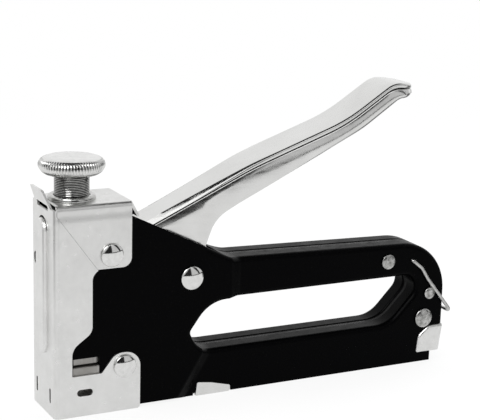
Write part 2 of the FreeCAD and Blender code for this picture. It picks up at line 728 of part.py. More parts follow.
def bumper():
    return box(striker_foot_front_x, striker_rear_x - 1, -striker_half_width + 1, striker_half_width - 1,
               guide_top_z, guide_top_z + bumper_thickness)


# ------------------------------------------------------------------ handle and lift arm
def along_handle(x_share, z_share, radius_share):
    """A corner of the handle's outline, in shares of its reach from the pivot."""
    reach = body_length - handle_setback - pivot_x
    return pivot_x + x_share * reach, pivot_z + z_share * reach, radius_share * reach


def near_pivot(x_share, z_share, radius_share):
    """A corner of the handle's outline, in shares of the ears' radius round the pivot."""
    return pivot_x + x_share * hub_radius, pivot_z + z_share * hub_radius, radius_share * hub_radius


def handle_top(inset):
    """Top line of the handle from its front end to the tip, lowered by an inset."""
    line = [near_pivot(-3.5, 2.725, 0.25), along_handle(0.2560, 0.4161, 1.324),
            along_handle(0.6655, 0.5619, 0.7061), along_handle(0.8773, 0.6977, 0.1059)]
    tip_x, tip_z, _ = along_handle(1.0, 0.6840, 0)
    curl_x, curl_z, _ = along_handle(0.9832, 0.6319, 0)
    return [(x, z - inset, radius) for x, z, radius in line] + [
        (tip_x - inset, tip_z - inset, max(handle_tip_bend - inset, 0.3)),
        (curl_x - inset, curl_z, 0.8),
    ]


def handle_underside():
    """Lower line of the handle from the tip to the ears round the pivot, and their front edge."""
    return [
        along_handle(0.9056, 0.6319, 0.0530), along_handle(0.7414, 0.5216, 0.5296),
        along_handle(0.2118, 0.2657, 0.3530), along_handle(0.1094, 0.2101, 0.1412),
        near_pivot(0.925, 1.15, 0.75), near_pivot(1.0, -1.0, 0.9), near_pivot(-1.0, -1.0, 0.9),
        near_pivot(-3.25, 1.525, 0.375),
    ]


def handle_room():
    """The open inside of the channel, which runs out below, at the front and under the tip."""
    inset = handle_top(handle_sheet)
    top = [(x, z, 0) for x, z, radius in inset[1:4]]
    tip = [inset[4], (inset[5][0], inset[5][1], 0), (inset[5][0] - 5, inset[5][1] - 15.4, 0)]
    steepness = (inset[1][1] - inset[0][1]) / (inset[1][0] - inset[0][0])
    lead = 10.0
    open_x = inset[0][0] - lead
    front = (open_x, inset[0][1] - lead * steepness, 0)
    low = [(x + 5, z - 8, 0) for x, z, radius in handle_underside()[1:-1]]
    room = side_face([front] + top + tip + low + [(open_x, pivot_z + 1.2, 0)])
    inner = handle_wall_half_width - handle_sheet
    return across(room, -inner, inner)


def tip_plan(half_width):
    """A block with the handle's rounded end, seen from above; a narrower one is set in all round."""
    inset = handle_half_width - half_width
    tip_x = handle_top(0)[4][0] - inset
    height = 2 * handle_top(0)[4][1]
    round_tip = handle_tip_round - inset
    corners = [(at(0, -half_width, 0), 0), (at(tip_x, -half_width, 0), round_tip),
               (at(tip_x, half_width, 0), round_tip), (at(0, half_width, 0), 0)]
    return Part.Face(rounded_path(corners, True)).extrude(at(0, 0, height))


def below_handle_top(inset):
    """The handle's whole block up to a line under its top."""
    outline = side_face(handle_top(inset) + handle_underside())
    return across(outline, -handle_half_width, handle_half_width)


def handle():
    """Sheet channel, open below, with a rolled bead along its top edges and a groove under it."""
    solid = below_handle_top(0).common(tip_plan(handle_half_width))
    rim = [edge for edge in solid.Edges if is_bead_edge(edge) or is_tip_edge(edge)]
    below_bead = below_handle_top(handle_bead_height)
    groove = below_bead.cut(below_handle_top(handle_bead_height + handle_groove_height))
    solid = solid.makeFillet(handle_round, rim).cut([
        below_bead.cut(tip_plan(handle_wall_half_width)),
        groove.cut(tip_plan(handle_groove_half_width)),
    ])
    pivot_hole = rod_y(pivot_x, pivot_z, sleeve_radius + fit_gap, -handle_half_width, handle_half_width)
    return solid.cut([handle_room(), pivot_hole]).removeSplitter()


def is_bead_edge(edge):
    """True for the side edges of the handle's top and tip."""
    if edge.BoundBox.YLength > 0.01:
        return False
    middle = edge.valueAt((edge.FirstParameter + edge.LastParameter) / 2)
    line = handle_top(0)
    for (x_from, z_from, _), (x_to, z_to, _) in zip(line, line[1:5]):
        if x_from <= middle.x <= x_to + 1:
            along = (middle.x - x_from) / (x_to - x_from)
            return middle.z > z_from + along * (z_to - z_from) - 3
    return False


def is_tip_edge(edge):
    """True for the edge that runs round the tip of the handle's top, not for the seams across it."""
    bounds = edge.BoundBox
    _, curl_z, _ = handle_top(0)[5]
    round_tip_x = handle_top(0)[4][0] - handle_tip_round
    straight_across = bounds.XLength < 1e-6 and bounds.ZLength < 1e-6
    return (bounds.YLength > 0.01 and not straight_across
            and bounds.XMax > round_tip_x and bounds.ZMin > curl_z + 0.5)


def belt(x_from, z_from, radius_from, x_to, z_to, radius_to):
    """Side face of a bar with two round ends, as a belt round two pulleys."""
    run = at(x_to - x_from, 0, z_to - z_from)
    spread = math.acos((radius_from - radius_to) / run.Length)
    heading = math.atan2(run.z, run.x)
    points = []
    for x, z, radius, signs in ((x_from, z_from, radius_from, (1, -1)), (x_to, z_to, radius_to, (-1, 1))):
        for sign in signs:
            angle = heading + sign * spread
            points.append(at(x + radius * math.cos(angle), 0, z + radius * math.sin(angle)))
    away = at(math.cos(heading), 0, math.sin(heading))
    back = at(x_from, 0, z_from) - away * radius_from
    ahead = at(x_to, 0, z_to) + away * radius_to
    edges = [Part.Arc(points[0], back, points[1]).toShape(),
             Part.LineSegment(points[1], points[2]).toShape(),
             Part.Arc(points[2], ahead, points[3]).toShape(),
             Part.LineSegment(points[3], points[0]).toShape()]
    return Part.Face(Part.Wire(edges))


def lift_arm():
    """Two plates inside the handle's walls, joined by the bar that lifts the striker."""
    side = belt(pivot_x, pivot_z, arm_hub_radius, lift_bar_x, lift_bar_z, arm_tip_radius)
    near = across(side, -arm_half_width, -arm_half_width + arm_sheet)
    bar = rod_y(lift_bar_x, lift_bar_z, lift_bar_radius, -arm_half_width, arm_half_width)
    pivot_hole = rod_y(pivot_x, pivot_z, sleeve_radius + fit_gap, -arm_half_width, arm_half_width)
    return near.fuse([mirrored(near), bar]).cut(pivot_hole)


def pivot_sleeve():
    """Bearing tube round the pivot rivet, clamped between the two half shells."""
    reach = shell_inside - sheet_gap
    bore = rod_y(pivot_x, pivot_z, shank(pivot_rivet) + fit_gap, -reach, reach)
    return rod_y(pivot_x, pivot_z, sleeve_radius, -reach, reach).cut(bore)


def pivot_washers():
    """A spacing washer on each side, between the handle's wall and the shell."""
    inner = handle_wall_half_width + slide_gap / 2
    outer = shell_inside - sheet_gap
    washer = rod_y(pivot_x, pivot_z, washer_radius, -outer, -inner)
    washer = washer.cut(rod_y(pivot_x, pivot_z, sleeve_radius + fit_gap, -outer, -inner))
    return Part.makeCompound([washer, mirrored(washer)])


def return_spring():
    """Torsion spring on the sleeve; its long leg lies up against the handle's top."""
    mean_radius = sleeve_radius + slide_gap + return_wire / 2
    pitch = return_wire * 1.08
    height = pitch * return_turns
    helix = Part.makeHelix(pitch, height, mean_radius)
    rise = pitch / (2 * math.pi * mean_radius)
    start = at(mean_radius, 0, 0)
    end = at(mean_radius, 0, height)
    heading = at(0, 1, rise).normalize()
    first = Part.LineSegment(start - heading * return_long_leg, start).toShape()
    last = Part.LineSegment(end, end + heading * return_short_leg).toShape()
    path = Part.Wire([first] + helix.Edges + [last])
    ring = Part.Wire(Part.makeCircle(return_wire / 2, first.Vertexes[0].Point, heading))
    spring = path.makePipeShell([ring], True, True)
    spring.translate(at(0, 0, -height / 2))
    spring.rotate(at(0, 0, 0), at(1, 0, 0), 90)
    spring.rotate(at(0, 0, 0), at(0, 1, 0), return_leg_turn)
    return spring.translated(at(pivot_x, 0, pivot_z))


# ------------------------------------------------------------------ magazine
def magazine_channel():
    """Long U-shaped channel that holds the staples, open above and at both ends."""
    front_x = guide_front_x + guide_sheet + slide_gap
    outer = box(front_x, channel_rear_x, -channel_half_width, channel_half_width,
                channel_bottom_z, channel_top_z)
    room = box(front_x - 1, channel_rear_x + 1, -channel_room, channel_room,
               channel_floor_z, channel_top_z + 1)
    return outer.cut(room)


def staple_rail():
    """Inverted U that the staples ride on, standing on the channel's floor."""
    outer = box(rail_front_x, rail_rear_x, -rail_half_width, rail_half_width,
                channel_floor_z, rail_top_z)
    inner_width = rail_half_width - rail_sheet
    room = box(rail_front_x - 1, rail_rear_x + 1, -inner_width, inner_width,
               channel_floor_z - 1, rail_top_z - rail_sheet)
    return outer.cut(room)


def guide_rod():
    """Rod from the end cap, with a head that keeps the follower on it."""
    rod = rod_x(0, rod_z, rod_radius, follower_front_x - 1, end_cap_rear_x - 2)
    return rod.fuse(rod_x(0, rod_z, rod_radius + 0.8, follower_front_x - 1.8, follower_front_x - slide_gap))


def follower():
    """Sliding block that pushes the staples forward; its legs straddle the rail."""
    half_width = channel_room - slide_gap
    block = box(follower_front_x, follower_rear_x, -half_width, half_width,
                channel_floor_z + slide_gap, channel_top_z)
    saddle = box(follower_front_x - 1, follower_rear_x + 1, -rail_half_width - slide_gap,
                 rail_half_width + slide_gap, 0, rail_top_z + slide_gap)
    bore = rod_x(0, rod_z, rod_radius + fit_gap, follower_front_x - 1, follower_rear_x + 1)
    return block.cut([saddle, bore])


def follower_spring():
    """Long soft spring on the rod, between the follower and the end cap."""
    length = block_front_x - follower_rear_x - 2 * sheet_gap
    radius = rod_radius + slide_gap + follower_spring_wire / 2
    spring = coil(radius, follower_spring_wire, length, follower_spring_turns)
    spring.rotate(at(0, 0, 0), at(0, 1, 0), 90)
    return spring.translated(at(follower_rear_x + sheet_gap, 0, rod_z))


def end_cap():
    """Cap over the rear of the magazine: two side plates, a leaning rear wall and a block for the rod."""
    inner = end_cap_half_width - end_cap_sheet
    rear_low_x = end_cap_rear_x - end_cap_lean
    side = side_face([
        (end_cap_rear_x, end_cap_top_z, 0.5),
        (end_cap_front_x + 6.2, end_cap_top_z, 5.0),
        (end_cap_front_x + 0.9, end_cap_top_z - 4.2, 4.0),
        (end_cap_front_x, end_cap_bottom_z, 1.0),
        (rear_low_x, end_cap_bottom_z, 0.5),
    ])
    cap = across(side, -end_cap_half_width, end_cap_half_width)
    rear = [edge for edge in cap.Edges if edge.BoundBox.YLength < 0.01
            and edge.BoundBox.XMin > rear_low_x - 0.1 and edge.BoundBox.ZLength > 3]
    cap = cap.makeFillet(1.2, rear)
    room = box(end_cap_front_x - 1, block_front_x, -inner, inner, 0, end_cap_top_z + 1)
    bore = rod_x(0, rod_z, rod_radius + fit_gap, block_front_x - 1, end_cap_rear_x - 2 + sheet_gap)
    return cap.cut([room, bore])


# ------------------------------------------------------------------ fasteners, bail and clip
def rivet_solid(rivet, face_y):
    """A rivet right across the tool, with a domed head on each side."""
    x, z, dome_radius, dome_height = rivet
    shank_radius = shank(rivet)
    top_y = face_y + dome_height
    ball_radius = (dome_radius ** 2 + dome_height ** 2) / (2 * dome_height)
    half_angle = math.asin(dome_radius / ball_radius) / 2
    crown = at(ball_radius * math.sin(half_angle), top_y - ball_radius * (1 - math.cos(half_angle)), 0)
    points = [at(0, 0, 0), at(shank_radius, 0, 0), at(shank_radius, face_y, 0), at(dome_radius, face_y, 0)]
    edges = [Part.LineSegment(start, end).toShape() for start, end in zip(points, points[1:])]
    edges.append(Part.Arc(points[-1], crown, at(0, top_y, 0)).toShape())
    edges.append(Part.LineSegment(at(0, top_y, 0), points[0]).toShape())
    axis = at(x, 0, z)
    half = Part.Face(Part.Wire(edges)).revolve(at(0, 0, 0), at(0, 1, 0), 360).translated(axis)
    return half.fuse(mirrored(half)).removeSplitter()


def spacer(rivet, inside_y):
    """Sleeve round a rivet that keeps the two half shells apart."""
    reach = inside_y - sheet_gap
    sleeve = rod_y(rivet[0], rivet[1], shank(rivet) + fit_gap + spacer_wall, -reach, reach)
    return sleeve.cut(rod_y(rivet[0], rivet[1], shank(rivet) + fit_gap, -reach, reach))


def bail():
    """Wire bail: its ends turn in the shells, its bar hooks over the closed handle."""
    leg_y = grip_half_width + slide_gap + bail_wire / 2
    pin_y = grip_half_width - bail_pin
    near_half = [(at(bail_x, -pin_y, bail_z), 0), (at(bail_x, -leg_y, bail_z), bail_pin_bend)]
    near_half += [(at(bail_x + x, -leg_y, bail_z + z), radius) for x, z, radius in bail_bends]
    near_half.append((at(bail_bar_x, -leg_y, bail_bar_z), bail_corner))
    far_half = [(at(place.x, -place.y, place.z), radius) for place, radius in reversed(near_half)]
    return swept(rounded_path(near_half + far_half, False), bail_wire)


def saddle_clip():
    """Sheet clip under the body that ties the magazine channel to both half shells."""
    inner = grip_half_width + sheet_gap
    outer = inner + saddle_sheet
    top_z = channel_bottom_z - sheet_gap
    side = side_face([
        (saddle_front_x - 0.2, top_z - saddle_sheet, 0.4), (saddle_front_x + 0.5, saddle_front_z, 0.8),
        (saddle_front_x + 7.5, saddle_front_z - 1.0, 2.0), (saddle_rear_x, saddle_rear_z, 0.6),
        (saddle_rear_x + 0.2, top_z, 0.4), (saddle_rear_x - 0.6, top_z - saddle_sheet, 0.4),
    ])
    ear = across(side, -outer, -inner)
    base = box(saddle_front_x, saddle_rear_x - 0.6, -outer + 0.3, outer - 0.3,
               top_z - saddle_sheet, top_z)
    return base.fuse([ear, mirrored(ear)]).removeSplitter()


# ------------------------------------------------------------------ output
def main():
    os.makedirs("parts", exist_ok=True)
    near_shell = half_shell()
    nodes = {
        "body_shell_left": mirrored(near_shell),
        "body_shell_right": near_shell,
        "nose_cover": nose_cover(),
        "top_cap": top_cap(),
        "threaded_bush": threaded_bush(),
        "adjusting_knob": adjusting_knob(),
        "spring_seat": spring_seat(),
        "main_spring": main_spring(),
        "striker": striker(),
        "driver_blade": driver_blade(),
        "nose_guide": nose_guide(),
        "striker_bumper": bumper(),
        "handle": handle(),
        "lift_arm": lift_arm(),
        "pivot_sleeve": pivot_sleeve(),
        "pivot_washers": pivot_washers(),
        "return_spring": return_spring(),
        "magazine_channel": magazine_channel(),
        "staple_rail": staple_rail(),
        "guide_rod": guide_rod(),
        "follower": follower(),
        "follower_spring": follower_spring(),
        "end_cap": end_cap(),
        "bail": bail(),
        "saddle_clip": saddle_clip(),
    }
    rivets = {
        "cap_rivet": (cap_rivet, cover_half_width, shell_inside),
        "nose_rivet": (nose_rivet, cover_half_width, shell_inside),
        "pivot_rivet": (pivot_rivet, block_half_width, None),
        "grip_rivet": (grip_rivet, grip_half_width, grip_inside),
        "small_rivet": (small_rivet, grip_half_width, grip_inside),
        "rear_rivet": (rear_rivet, grip_half_width, grip_inside),
    }
    for name, (rivet, face_y, inside_y) in rivets.items():
        nodes[name] = rivet_solid(rivet, face_y)
        if inside_y is not None:
            nodes[name.replace("rivet", "spacer")] = spacer(rivet, inside_y)
    for name, shape in nodes.items():
        shape.exportStep("parts/" + name + ".step")
        print(name, shape.isValid(), len(shape.Solids), round(shape.Volume, 1))


main()
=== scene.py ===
# %% [markdown]
# # A hand staple gun, dressed for its picture
#
# The tool is already built as solids: pressed body halves, plated nose, squeeze handle, power knob,
# magazine and bail. Here those solids are loaded as a fixed frame, and Blender gives each piece the
# surface it really has. Pieces whose finish depends on fine shape, such as the knurled knob, the screw
# thread and the rolled handle, are modelled again in more detail and stand in for the plain solids.

import math

import bmesh
import bpy
from mathutils import Matrix, Vector
from mathutils.bvhtree import BVHTree


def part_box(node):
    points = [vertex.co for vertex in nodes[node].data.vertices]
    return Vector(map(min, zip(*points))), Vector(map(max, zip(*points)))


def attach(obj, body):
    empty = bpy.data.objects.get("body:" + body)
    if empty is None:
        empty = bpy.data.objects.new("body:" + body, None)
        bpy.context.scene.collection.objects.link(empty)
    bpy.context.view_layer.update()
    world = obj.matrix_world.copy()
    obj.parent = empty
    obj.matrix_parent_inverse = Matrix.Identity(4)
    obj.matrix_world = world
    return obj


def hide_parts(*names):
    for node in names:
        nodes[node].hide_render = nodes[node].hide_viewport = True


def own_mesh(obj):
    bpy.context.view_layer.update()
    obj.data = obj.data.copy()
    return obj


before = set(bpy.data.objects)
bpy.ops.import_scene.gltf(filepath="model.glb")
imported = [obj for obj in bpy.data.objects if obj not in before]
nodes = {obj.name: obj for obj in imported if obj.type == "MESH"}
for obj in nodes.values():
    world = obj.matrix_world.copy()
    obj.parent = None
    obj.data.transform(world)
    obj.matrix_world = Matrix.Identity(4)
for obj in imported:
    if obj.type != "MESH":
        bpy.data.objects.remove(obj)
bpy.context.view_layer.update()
print("pieces in the frame:", len(nodes))

MM = 0.001


def mm(x, y, z):
    """A point of the tool in millimetres, as Blender's metres."""
    return Vector((x, y, z)) * MM


# %% [markdown]
# ## The camera
#
# A long lens from about 64 cm, a little above the tool and round to the nose's side, shows the nose's
# front and the near side at once. The view leans by a degree and a half, as a hand-held picture does.
# A constraint could aim the camera too. Here its three axes are worked out as vectors, because the lean
# is then one more turn of the same axes.

# %% Camera
camera_turn = math.radians(-26.93)
camera_rise = math.radians(13.62)
camera_lean = math.radians(1.52)
camera_target = mm(90.76, 0, 79.07)
camera_distance = 0.63852

backward = Vector((math.sin(camera_turn) * math.cos(camera_rise),
                   -math.cos(camera_turn) * math.cos(camera_rise), math.sin(camera_rise)))
level_right = Vector((0, 0, 1)).cross(backward).normalized()
level_up = backward.cross(level_right)
right = math.cos(camera_lean) * level_right + math.sin(camera_lean) * level_up
up = -math.sin(camera_lean) * level_right + math.cos(camera_lean) * level_up

bpy.ops.object.select_all(action="DESELECT")
bpy.ops.object.camera_add()
camera = bpy.context.object
camera.name = "photo_camera"
camera.data.lens = 109.22
camera.data.sensor_width = 36
camera.matrix_world = Matrix.Translation(camera_target + backward * camera_distance) @ Matrix(
    (right, up, backward)).transposed().to_4x4()
bpy.context.scene.camera = camera
print("camera at", [round(value, 3) for value in camera.location])

# %% [markdown]
# ## Small tools for materials
#
# The floor, the room and every finish are built from the same few shader nodes. They could be dragged
# together by hand in the shader editor. Short functions do the same and can be read like sums: a new
# material, products, sums and largest values, a soft rise from 0 to 1, and the object's coordinates.

# %% Node helpers


def surface(name, base, roughness, metallic=0.0):
    """A new material and its shader, with the plain values set on the shader itself."""
    material = bpy.data.materials.new(name)
    material.use_nodes = True
    shader = material.node_tree.nodes["Principled BSDF"]
    shader.inputs["Base Color"].default_value = (*base, 1)
    shader.inputs["Roughness"].default_value = roughness
    shader.inputs["Metallic"].default_value = metallic
    return material, shader


def maths(tree, operation, first, second=0.0):
    """A Math node; each input is a socket or a plain number."""
    node = tree.nodes.new("ShaderNodeMath")
    node.operation = operation
    for socket, value in zip(node.inputs, (first, second)):
        if isinstance(value, (int, float)):
            socket.default_value = value
        else:
            tree.links.new(value, socket)
    return node.outputs[0]


def times(tree, product, *factors):
    """The product of sockets and numbers."""
    for factor in factors:
        product = maths(tree, "MULTIPLY", product, factor)
    return product


def plus(tree, total, *terms):
    """The sum of sockets and numbers."""
    for term in terms:
        total = maths(tree, "ADD", total, term)
    return total


def most(tree, largest, *others):
    """The largest of sockets and numbers."""
    for other in others:
        largest = maths(tree, "MAXIMUM", largest, other)
    return largest


def rise(tree, value, low, high):
    """0 below low, 1 above high and a soft rise between; with low above high it falls instead."""
    node = tree.nodes.new("ShaderNodeMapRange")
    node.interpolation_type = "SMOOTHSTEP"
    node.inputs["From Min"].default_value = min(low, high)
    node.inputs["From Max"].default_value = max(low, high)
    node.inputs["To Min"].default_value = 0.0 if low < high else 1.0
    node.inputs["To Max"].default_value = 1.0 if low < high else 0.0
    tree.links.new(value, node.inputs["Value"])
    return node.outputs["Result"]


def coordinates(tree, kind="Object"):
    """X, Y and Z of the point being shaded, in metres, or of the direction looked in."""
    place = tree.nodes.new("ShaderNodeTexCoord")
    parts = tree.nodes.new("ShaderNodeSeparateXYZ")
    tree.links.new(place.outputs[kind], parts.inputs[0])
    return parts.outputs["X"], parts.outputs["Y"], parts.outputs["Z"]


print("node helpers are ready")

# %% [markdown]
# ## The floor
#
# The tool stands on a plain white floor that runs far behind it. A floor that only glows is evenly white
# but loses the tool's shadow, and one that is only lit turns grey. So the two are mixed: near the tool
# the lamps light a share of the floor, and farther off it glows evenly. Metal mirrors the floor a little
# dimmer than it is, and dark beyond the tool's two ends. A pair of numbers is where an edge starts and
# where it is complete.

# %% Floor
floor_grey = 0.86
lamp_share = 0.12
glow_in_mirrors = 0.9
mirror_loss = 0.16
glow_reach = (0.25, 0.9)
tool_middle_x = 0.09
end_slope, end_reach, end_darkness = (2.2, 3.0), (0.2, 0.3), 0.9

bpy.ops.object.select_all(action="DESELECT")
bpy.ops.mesh.primitive_plane_add(size=8, location=(0, 0, 0))
floor = bpy.context.object
floor.name = "studio_floor"
floor_material, floor_shader = surface("studio_white", (floor_grey, floor_grey, floor_grey), 0.9)
tree = floor_material.node_tree
path = tree.nodes.new("ShaderNodeLightPath")
to_camera, to_mirror = path.outputs["Is Camera Ray"], path.outputs["Is Glossy Ray"]
east, north = coordinates(tree)[:2]
reach = maths(tree, "SQRT", plus(tree, times(tree, east, east), times(tree, north, north)))

glow_seen = plus(tree, times(tree, rise(tree, reach, *glow_reach), lamp_share), 1 - lamp_share)
glow_share = most(tree, times(tree, to_camera, glow_seen), times(tree, to_mirror, glow_in_mirrors))
endways = maths(tree, "DIVIDE", maths(tree, "ABSOLUTE", plus(tree, east, -tool_middle_x)),
                maths(tree, "ABSOLUTE", north))
end_dark = times(tree, rise(tree, endways, *end_slope), rise(tree, reach, *end_reach),
                 to_mirror, end_darkness)
loss = most(tree, end_dark, times(tree, to_mirror, mirror_loss))

glow = tree.nodes.new("ShaderNodeEmission")
tree.links.new(maths(tree, "SUBTRACT", 1.0, loss), glow.inputs["Strength"])
mix = tree.nodes.new("ShaderNodeMixShader")
tree.links.new(glow_share, mix.inputs[0])
tree.links.new(floor_shader.outputs[0], mix.inputs[1])
tree.links.new(glow.outputs[0], mix.inputs[2])
tree.links.new(mix.outputs[0], tree.nodes["Material Output"].inputs["Surface"])
floor.data.materials.append(floor_material)
print("floor", [round(side, 1) for side in floor.dimensions], "m")

# %% [markdown]
# ## The room
#
# Bright metal is only as lively as what it mirrors, so the room round the tool matters more than the
# lamps. A picture of a studio could stand in for the room. Drawn with shader sums it needs no file, and
# each dark patch can be moved until it shows in the right place on the metal.
#
# Behind the tool the room is white. On the near side it is light grey, with a dark corner, a dark
# slanting post and a dark skirting, one bright window and a band of light high on the wall. The ceiling
# is dark. The corner shows as the black patch in every rivet head, and the ceiling as the thin dark line
# along each bend. Places on the near wall are given by height and by slant, which is how far east a
# direction goes for each step towards the near side. Pairs of numbers are soft edges again.

# %% Room
near_side_edge = 0.12
corner_left, corner_right, corner_soft = -0.50, 0.26, 0.06
post_lean, post_slant = 1.3, 1.45
post_half_width, post_height = (0.24, 0.16), (0.65, 0.55)
skirting_height = (0.05, 0.03)
ceiling_height = (0.78, 0.84)
window_direction, window_edge, window_light = (-0.53, -0.48, 0.70), (0.955, 0.972), 6.0
band_foot, band_top, band_light = (0.56, 0.62), (0.82, 0.76), 0.7
band_left, band_right = (-0.6, -0.4), (0.5, 0.3)
white_wall, near_wall_loss, darkness, lamp_wall = 0.94, 0.30, 0.97, 0.5

world = bpy.data.worlds.new("studio_room")
bpy.context.scene.world = world
world.use_nodes = True
tree = world.node_tree
east, north, height = coordinates(tree, "Generated")

near_side = rise(tree, north, near_side_edge, -near_side_edge)
slant = maths(tree, "DIVIDE", east, maths(tree, "ABSOLUTE", north))
corner_top = maths(tree, "SUBTRACT", height, plus(tree, slant, -corner_left))
corner = times(tree, rise(tree, slant, corner_left, corner_left + corner_soft),
               rise(tree, slant, corner_right, corner_right - corner_soft),
               rise(tree, corner_top, corner_soft, 0.0))
post_middle = plus(tree, times(tree, height, post_lean), plus(tree, slant, -post_slant))
from_post = maths(tree, "ABSOLUTE", post_middle)
post = times(tree, rise(tree, from_post, *post_half_width), rise(tree, height, *post_height))
near_dark = times(tree, near_side, most(tree, corner, post, rise(tree, height, *skirting_height)))
dark = most(tree, near_dark, rise(tree, height, *ceiling_height))

wall = maths(tree, "SUBTRACT", white_wall, times(tree, near_side, near_wall_loss))
toward_window = plus(tree, *(times(tree, axis, share) for axis, share in
                             zip((east, north, height), window_direction)))
window = times(tree, rise(tree, toward_window, *window_edge), window_light)
band = times(tree, rise(tree, height, *band_foot), rise(tree, height, *band_top), near_side,
             rise(tree, slant, *band_left), rise(tree, slant, *band_right), band_light)
shade = maths(tree, "SUBTRACT", 1.0, times(tree, dark, darkness))
mirrored = plus(tree, times(tree, wall, shade), window, band)
print("room: white behind, light grey on the near side, dark ceiling, one bright window")

# %% [markdown]
# Only mirrored rays see this room. Matt surfaces gather an even grey from all sides, which is quicker
# and quieter to render, and the camera sees plain white behind the tool.

# %% What each kind of ray sees
path = tree.nodes.new("ShaderNodeLightPath")
to_camera, to_mirror = path.outputs["Is Camera Ray"], path.outputs["Is Glossy Ray"]
lit = plus(tree, times(tree, to_mirror, maths(tree, "SUBTRACT", mirrored, lamp_wall)), lamp_wall)
backdrop = tree.nodes["Background"]
backdrop.inputs["Color"].default_value = (1, 1, 1, 1)
tree.links.new(most(tree, lit, to_camera), backdrop.inputs["Strength"])
print("even light for matt surfaces:", lamp_wall)

# %% [markdown]
# ## The lamps
#
# Four soft lamps light the enamel and the floor: one above, one on the near side, one before the nose
# and one behind. Area lamps cast the soft shadows of a studio, where point lamps would cast hard ones.
# They aren't mirrored, because the room already gives the metal all that it reflects.

# %% Lamps


def soft_lamp(name, place, aim, size, power):
    """A square lamp turned to face a point; it lights the tool but isn't mirrored in it."""
    bpy.ops.object.light_add(type="AREA", location=place)
    lamp = bpy.context.object
    lamp.name = name
    lamp.data.size = size
    lamp.data.energy = power
    lamp.rotation_euler = (Vector(aim) - Vector(place)).to_track_quat("-Z", "Y").to_euler()
    lamp.visible_glossy = False
    print(name, "power", power, "W")


soft_lamp("top_lamp", place=(0.1, 0.15, 0.9), aim=(0.09, 0, 0.05), size=0.8, power=7)
soft_lamp("near_lamp", place=(-0.45, -0.95, 0.75), aim=(0.09, 0, 0.06), size=0.5, power=5)
soft_lamp("nose_lamp", place=(-0.95, 0.1, 0.45), aim=(0.0, 0, 0.06), size=0.5, power=3)
soft_lamp("rear_lamp", place=(0.9, 0.4, 0.6), aim=(0.1, 0, 0.06), size=0.5, power=3)

bpy.context.scene.view_settings.view_transform = "Standard"

# %% [markdown]
# ## Finishes
#
# Every finish starts from the shader's plain values and gets its life from noise on the object's own
# coordinates: how rough the plating is from place to place, the fine grain that bends the light, and
# the small changes of tone. Scratches and buffing are the same noise, stretched along one direction.
# Images could give the same detail, but noise needs no unwrapping and is as fine as the view asks.

# %% Finish helpers


def grain(tree, scale, stretch=(1, 1, 1), turn=0.0, detail=4.0, roughness=0.6):
    """Noise on the object's coordinates, in grains per metre; stretch thins it along each axis."""
    place = tree.nodes.new("ShaderNodeTexCoord")
    turned = tree.nodes.new("ShaderNodeMapping")
    turned.inputs["Rotation"].default_value = (0, turn, 0)
    turned.inputs["Scale"].default_value = stretch
    noise = tree.nodes.new("ShaderNodeTexNoise")
    noise.inputs["Scale"].default_value = scale
    noise.inputs["Detail"].default_value = detail
    noise.inputs["Roughness"].default_value = roughness
    tree.links.new(place.outputs["Object"], turned.inputs["Vector"])
    tree.links.new(turned.outputs["Vector"], noise.inputs["Vector"])
    return noise.outputs["Fac"]


def ramp(tree, value, stops):
    """A colour ramp; stops are (position, grey or colour)."""
    node = tree.nodes.new("ShaderNodeValToRGB")
    while len(node.color_ramp.elements) < len(stops):
        node.color_ramp.elements.new(0.5)
    for element, (position, tone) in zip(node.color_ramp.elements, stops):
        element.position = position
        colour = tone if isinstance(tone, tuple) else (tone, tone, tone)
        element.color = (*colour, 1)
    tree.links.new(value, node.inputs[0])
    return node.outputs["Color"]


def roughen(tree, shader, value, low, high):
    """Roughness that follows a noise between two values."""
    spread = tree.nodes.new("ShaderNodeMapRange")
    spread.inputs["From Min"].default_value = 0.3
    spread.inputs["From Max"].default_value = 0.7
    spread.inputs["To Min"].default_value = low
    spread.inputs["To Max"].default_value = high
    tree.links.new(value, spread.inputs["Value"])
    tree.links.new(spread.outputs["Result"], shader.inputs["Roughness"])


def emboss(tree, shader, layers):
    """Bump from (noise, height in metres, strength) layers, coarse first."""
    normal = None
    for value, depth, strength in layers:
        bump = tree.nodes.new("ShaderNodeBump")
        bump.inputs["Strength"].default_value = strength
        bump.inputs["Distance"].default_value = depth
        tree.links.new(value, bump.inputs["Height"])
        if normal is not None:
            tree.links.new(normal, bump.inputs["Normal"])
        normal = bump.outputs["Normal"]
    tree.links.new(normal, shader.inputs["Normal"])


print("finish helpers are ready")

# %% [markdown]
# The body is nearly black enamel over steel, with orange peel and a few specks of dust. The two half
# shells curl towards each other at the seam. That could be modelled, but it is so narrow that a bump
# along the middle shows it as well. The nose and the cap are satin nickel: a soft cloud of tones, fine
# flecks, and the shallow draw that the press left below the cap's upper edge.

# %% Enamel and nickel
black_enamel, shader = surface("black_enamel", (0.0015, 0.0015, 0.0018), 0.3)
shader.inputs["Specular IOR Level"].default_value = 0.026
tree = black_enamel.node_tree
tree.links.new(ramp(tree, grain(tree, 2600, detail=1), [
    (0.0, (0.0006, 0.0006, 0.0007)), (0.70, (0.0009, 0.0009, 0.0011)), (0.80, (0.012, 0.011, 0.011))]),
    shader.inputs["Base Color"])
roughen(tree, shader, grain(tree, 260), 0.22, 0.38)
seam = rise(tree, maths(tree, "ABSOLUTE", coordinates(tree)[1]), 0.3 * MM, 1.9 * MM)
emboss(tree, shader, [(seam, 1.1 * MM, 1.0), (grain(tree, 120, detail=2), 0.00012, 0.25),
                      (grain(tree, 900, detail=2), 0.00003, 0.4)])
print("black enamel: a rolled seam along the middle, orange peel about 1 mm across, dust specks")

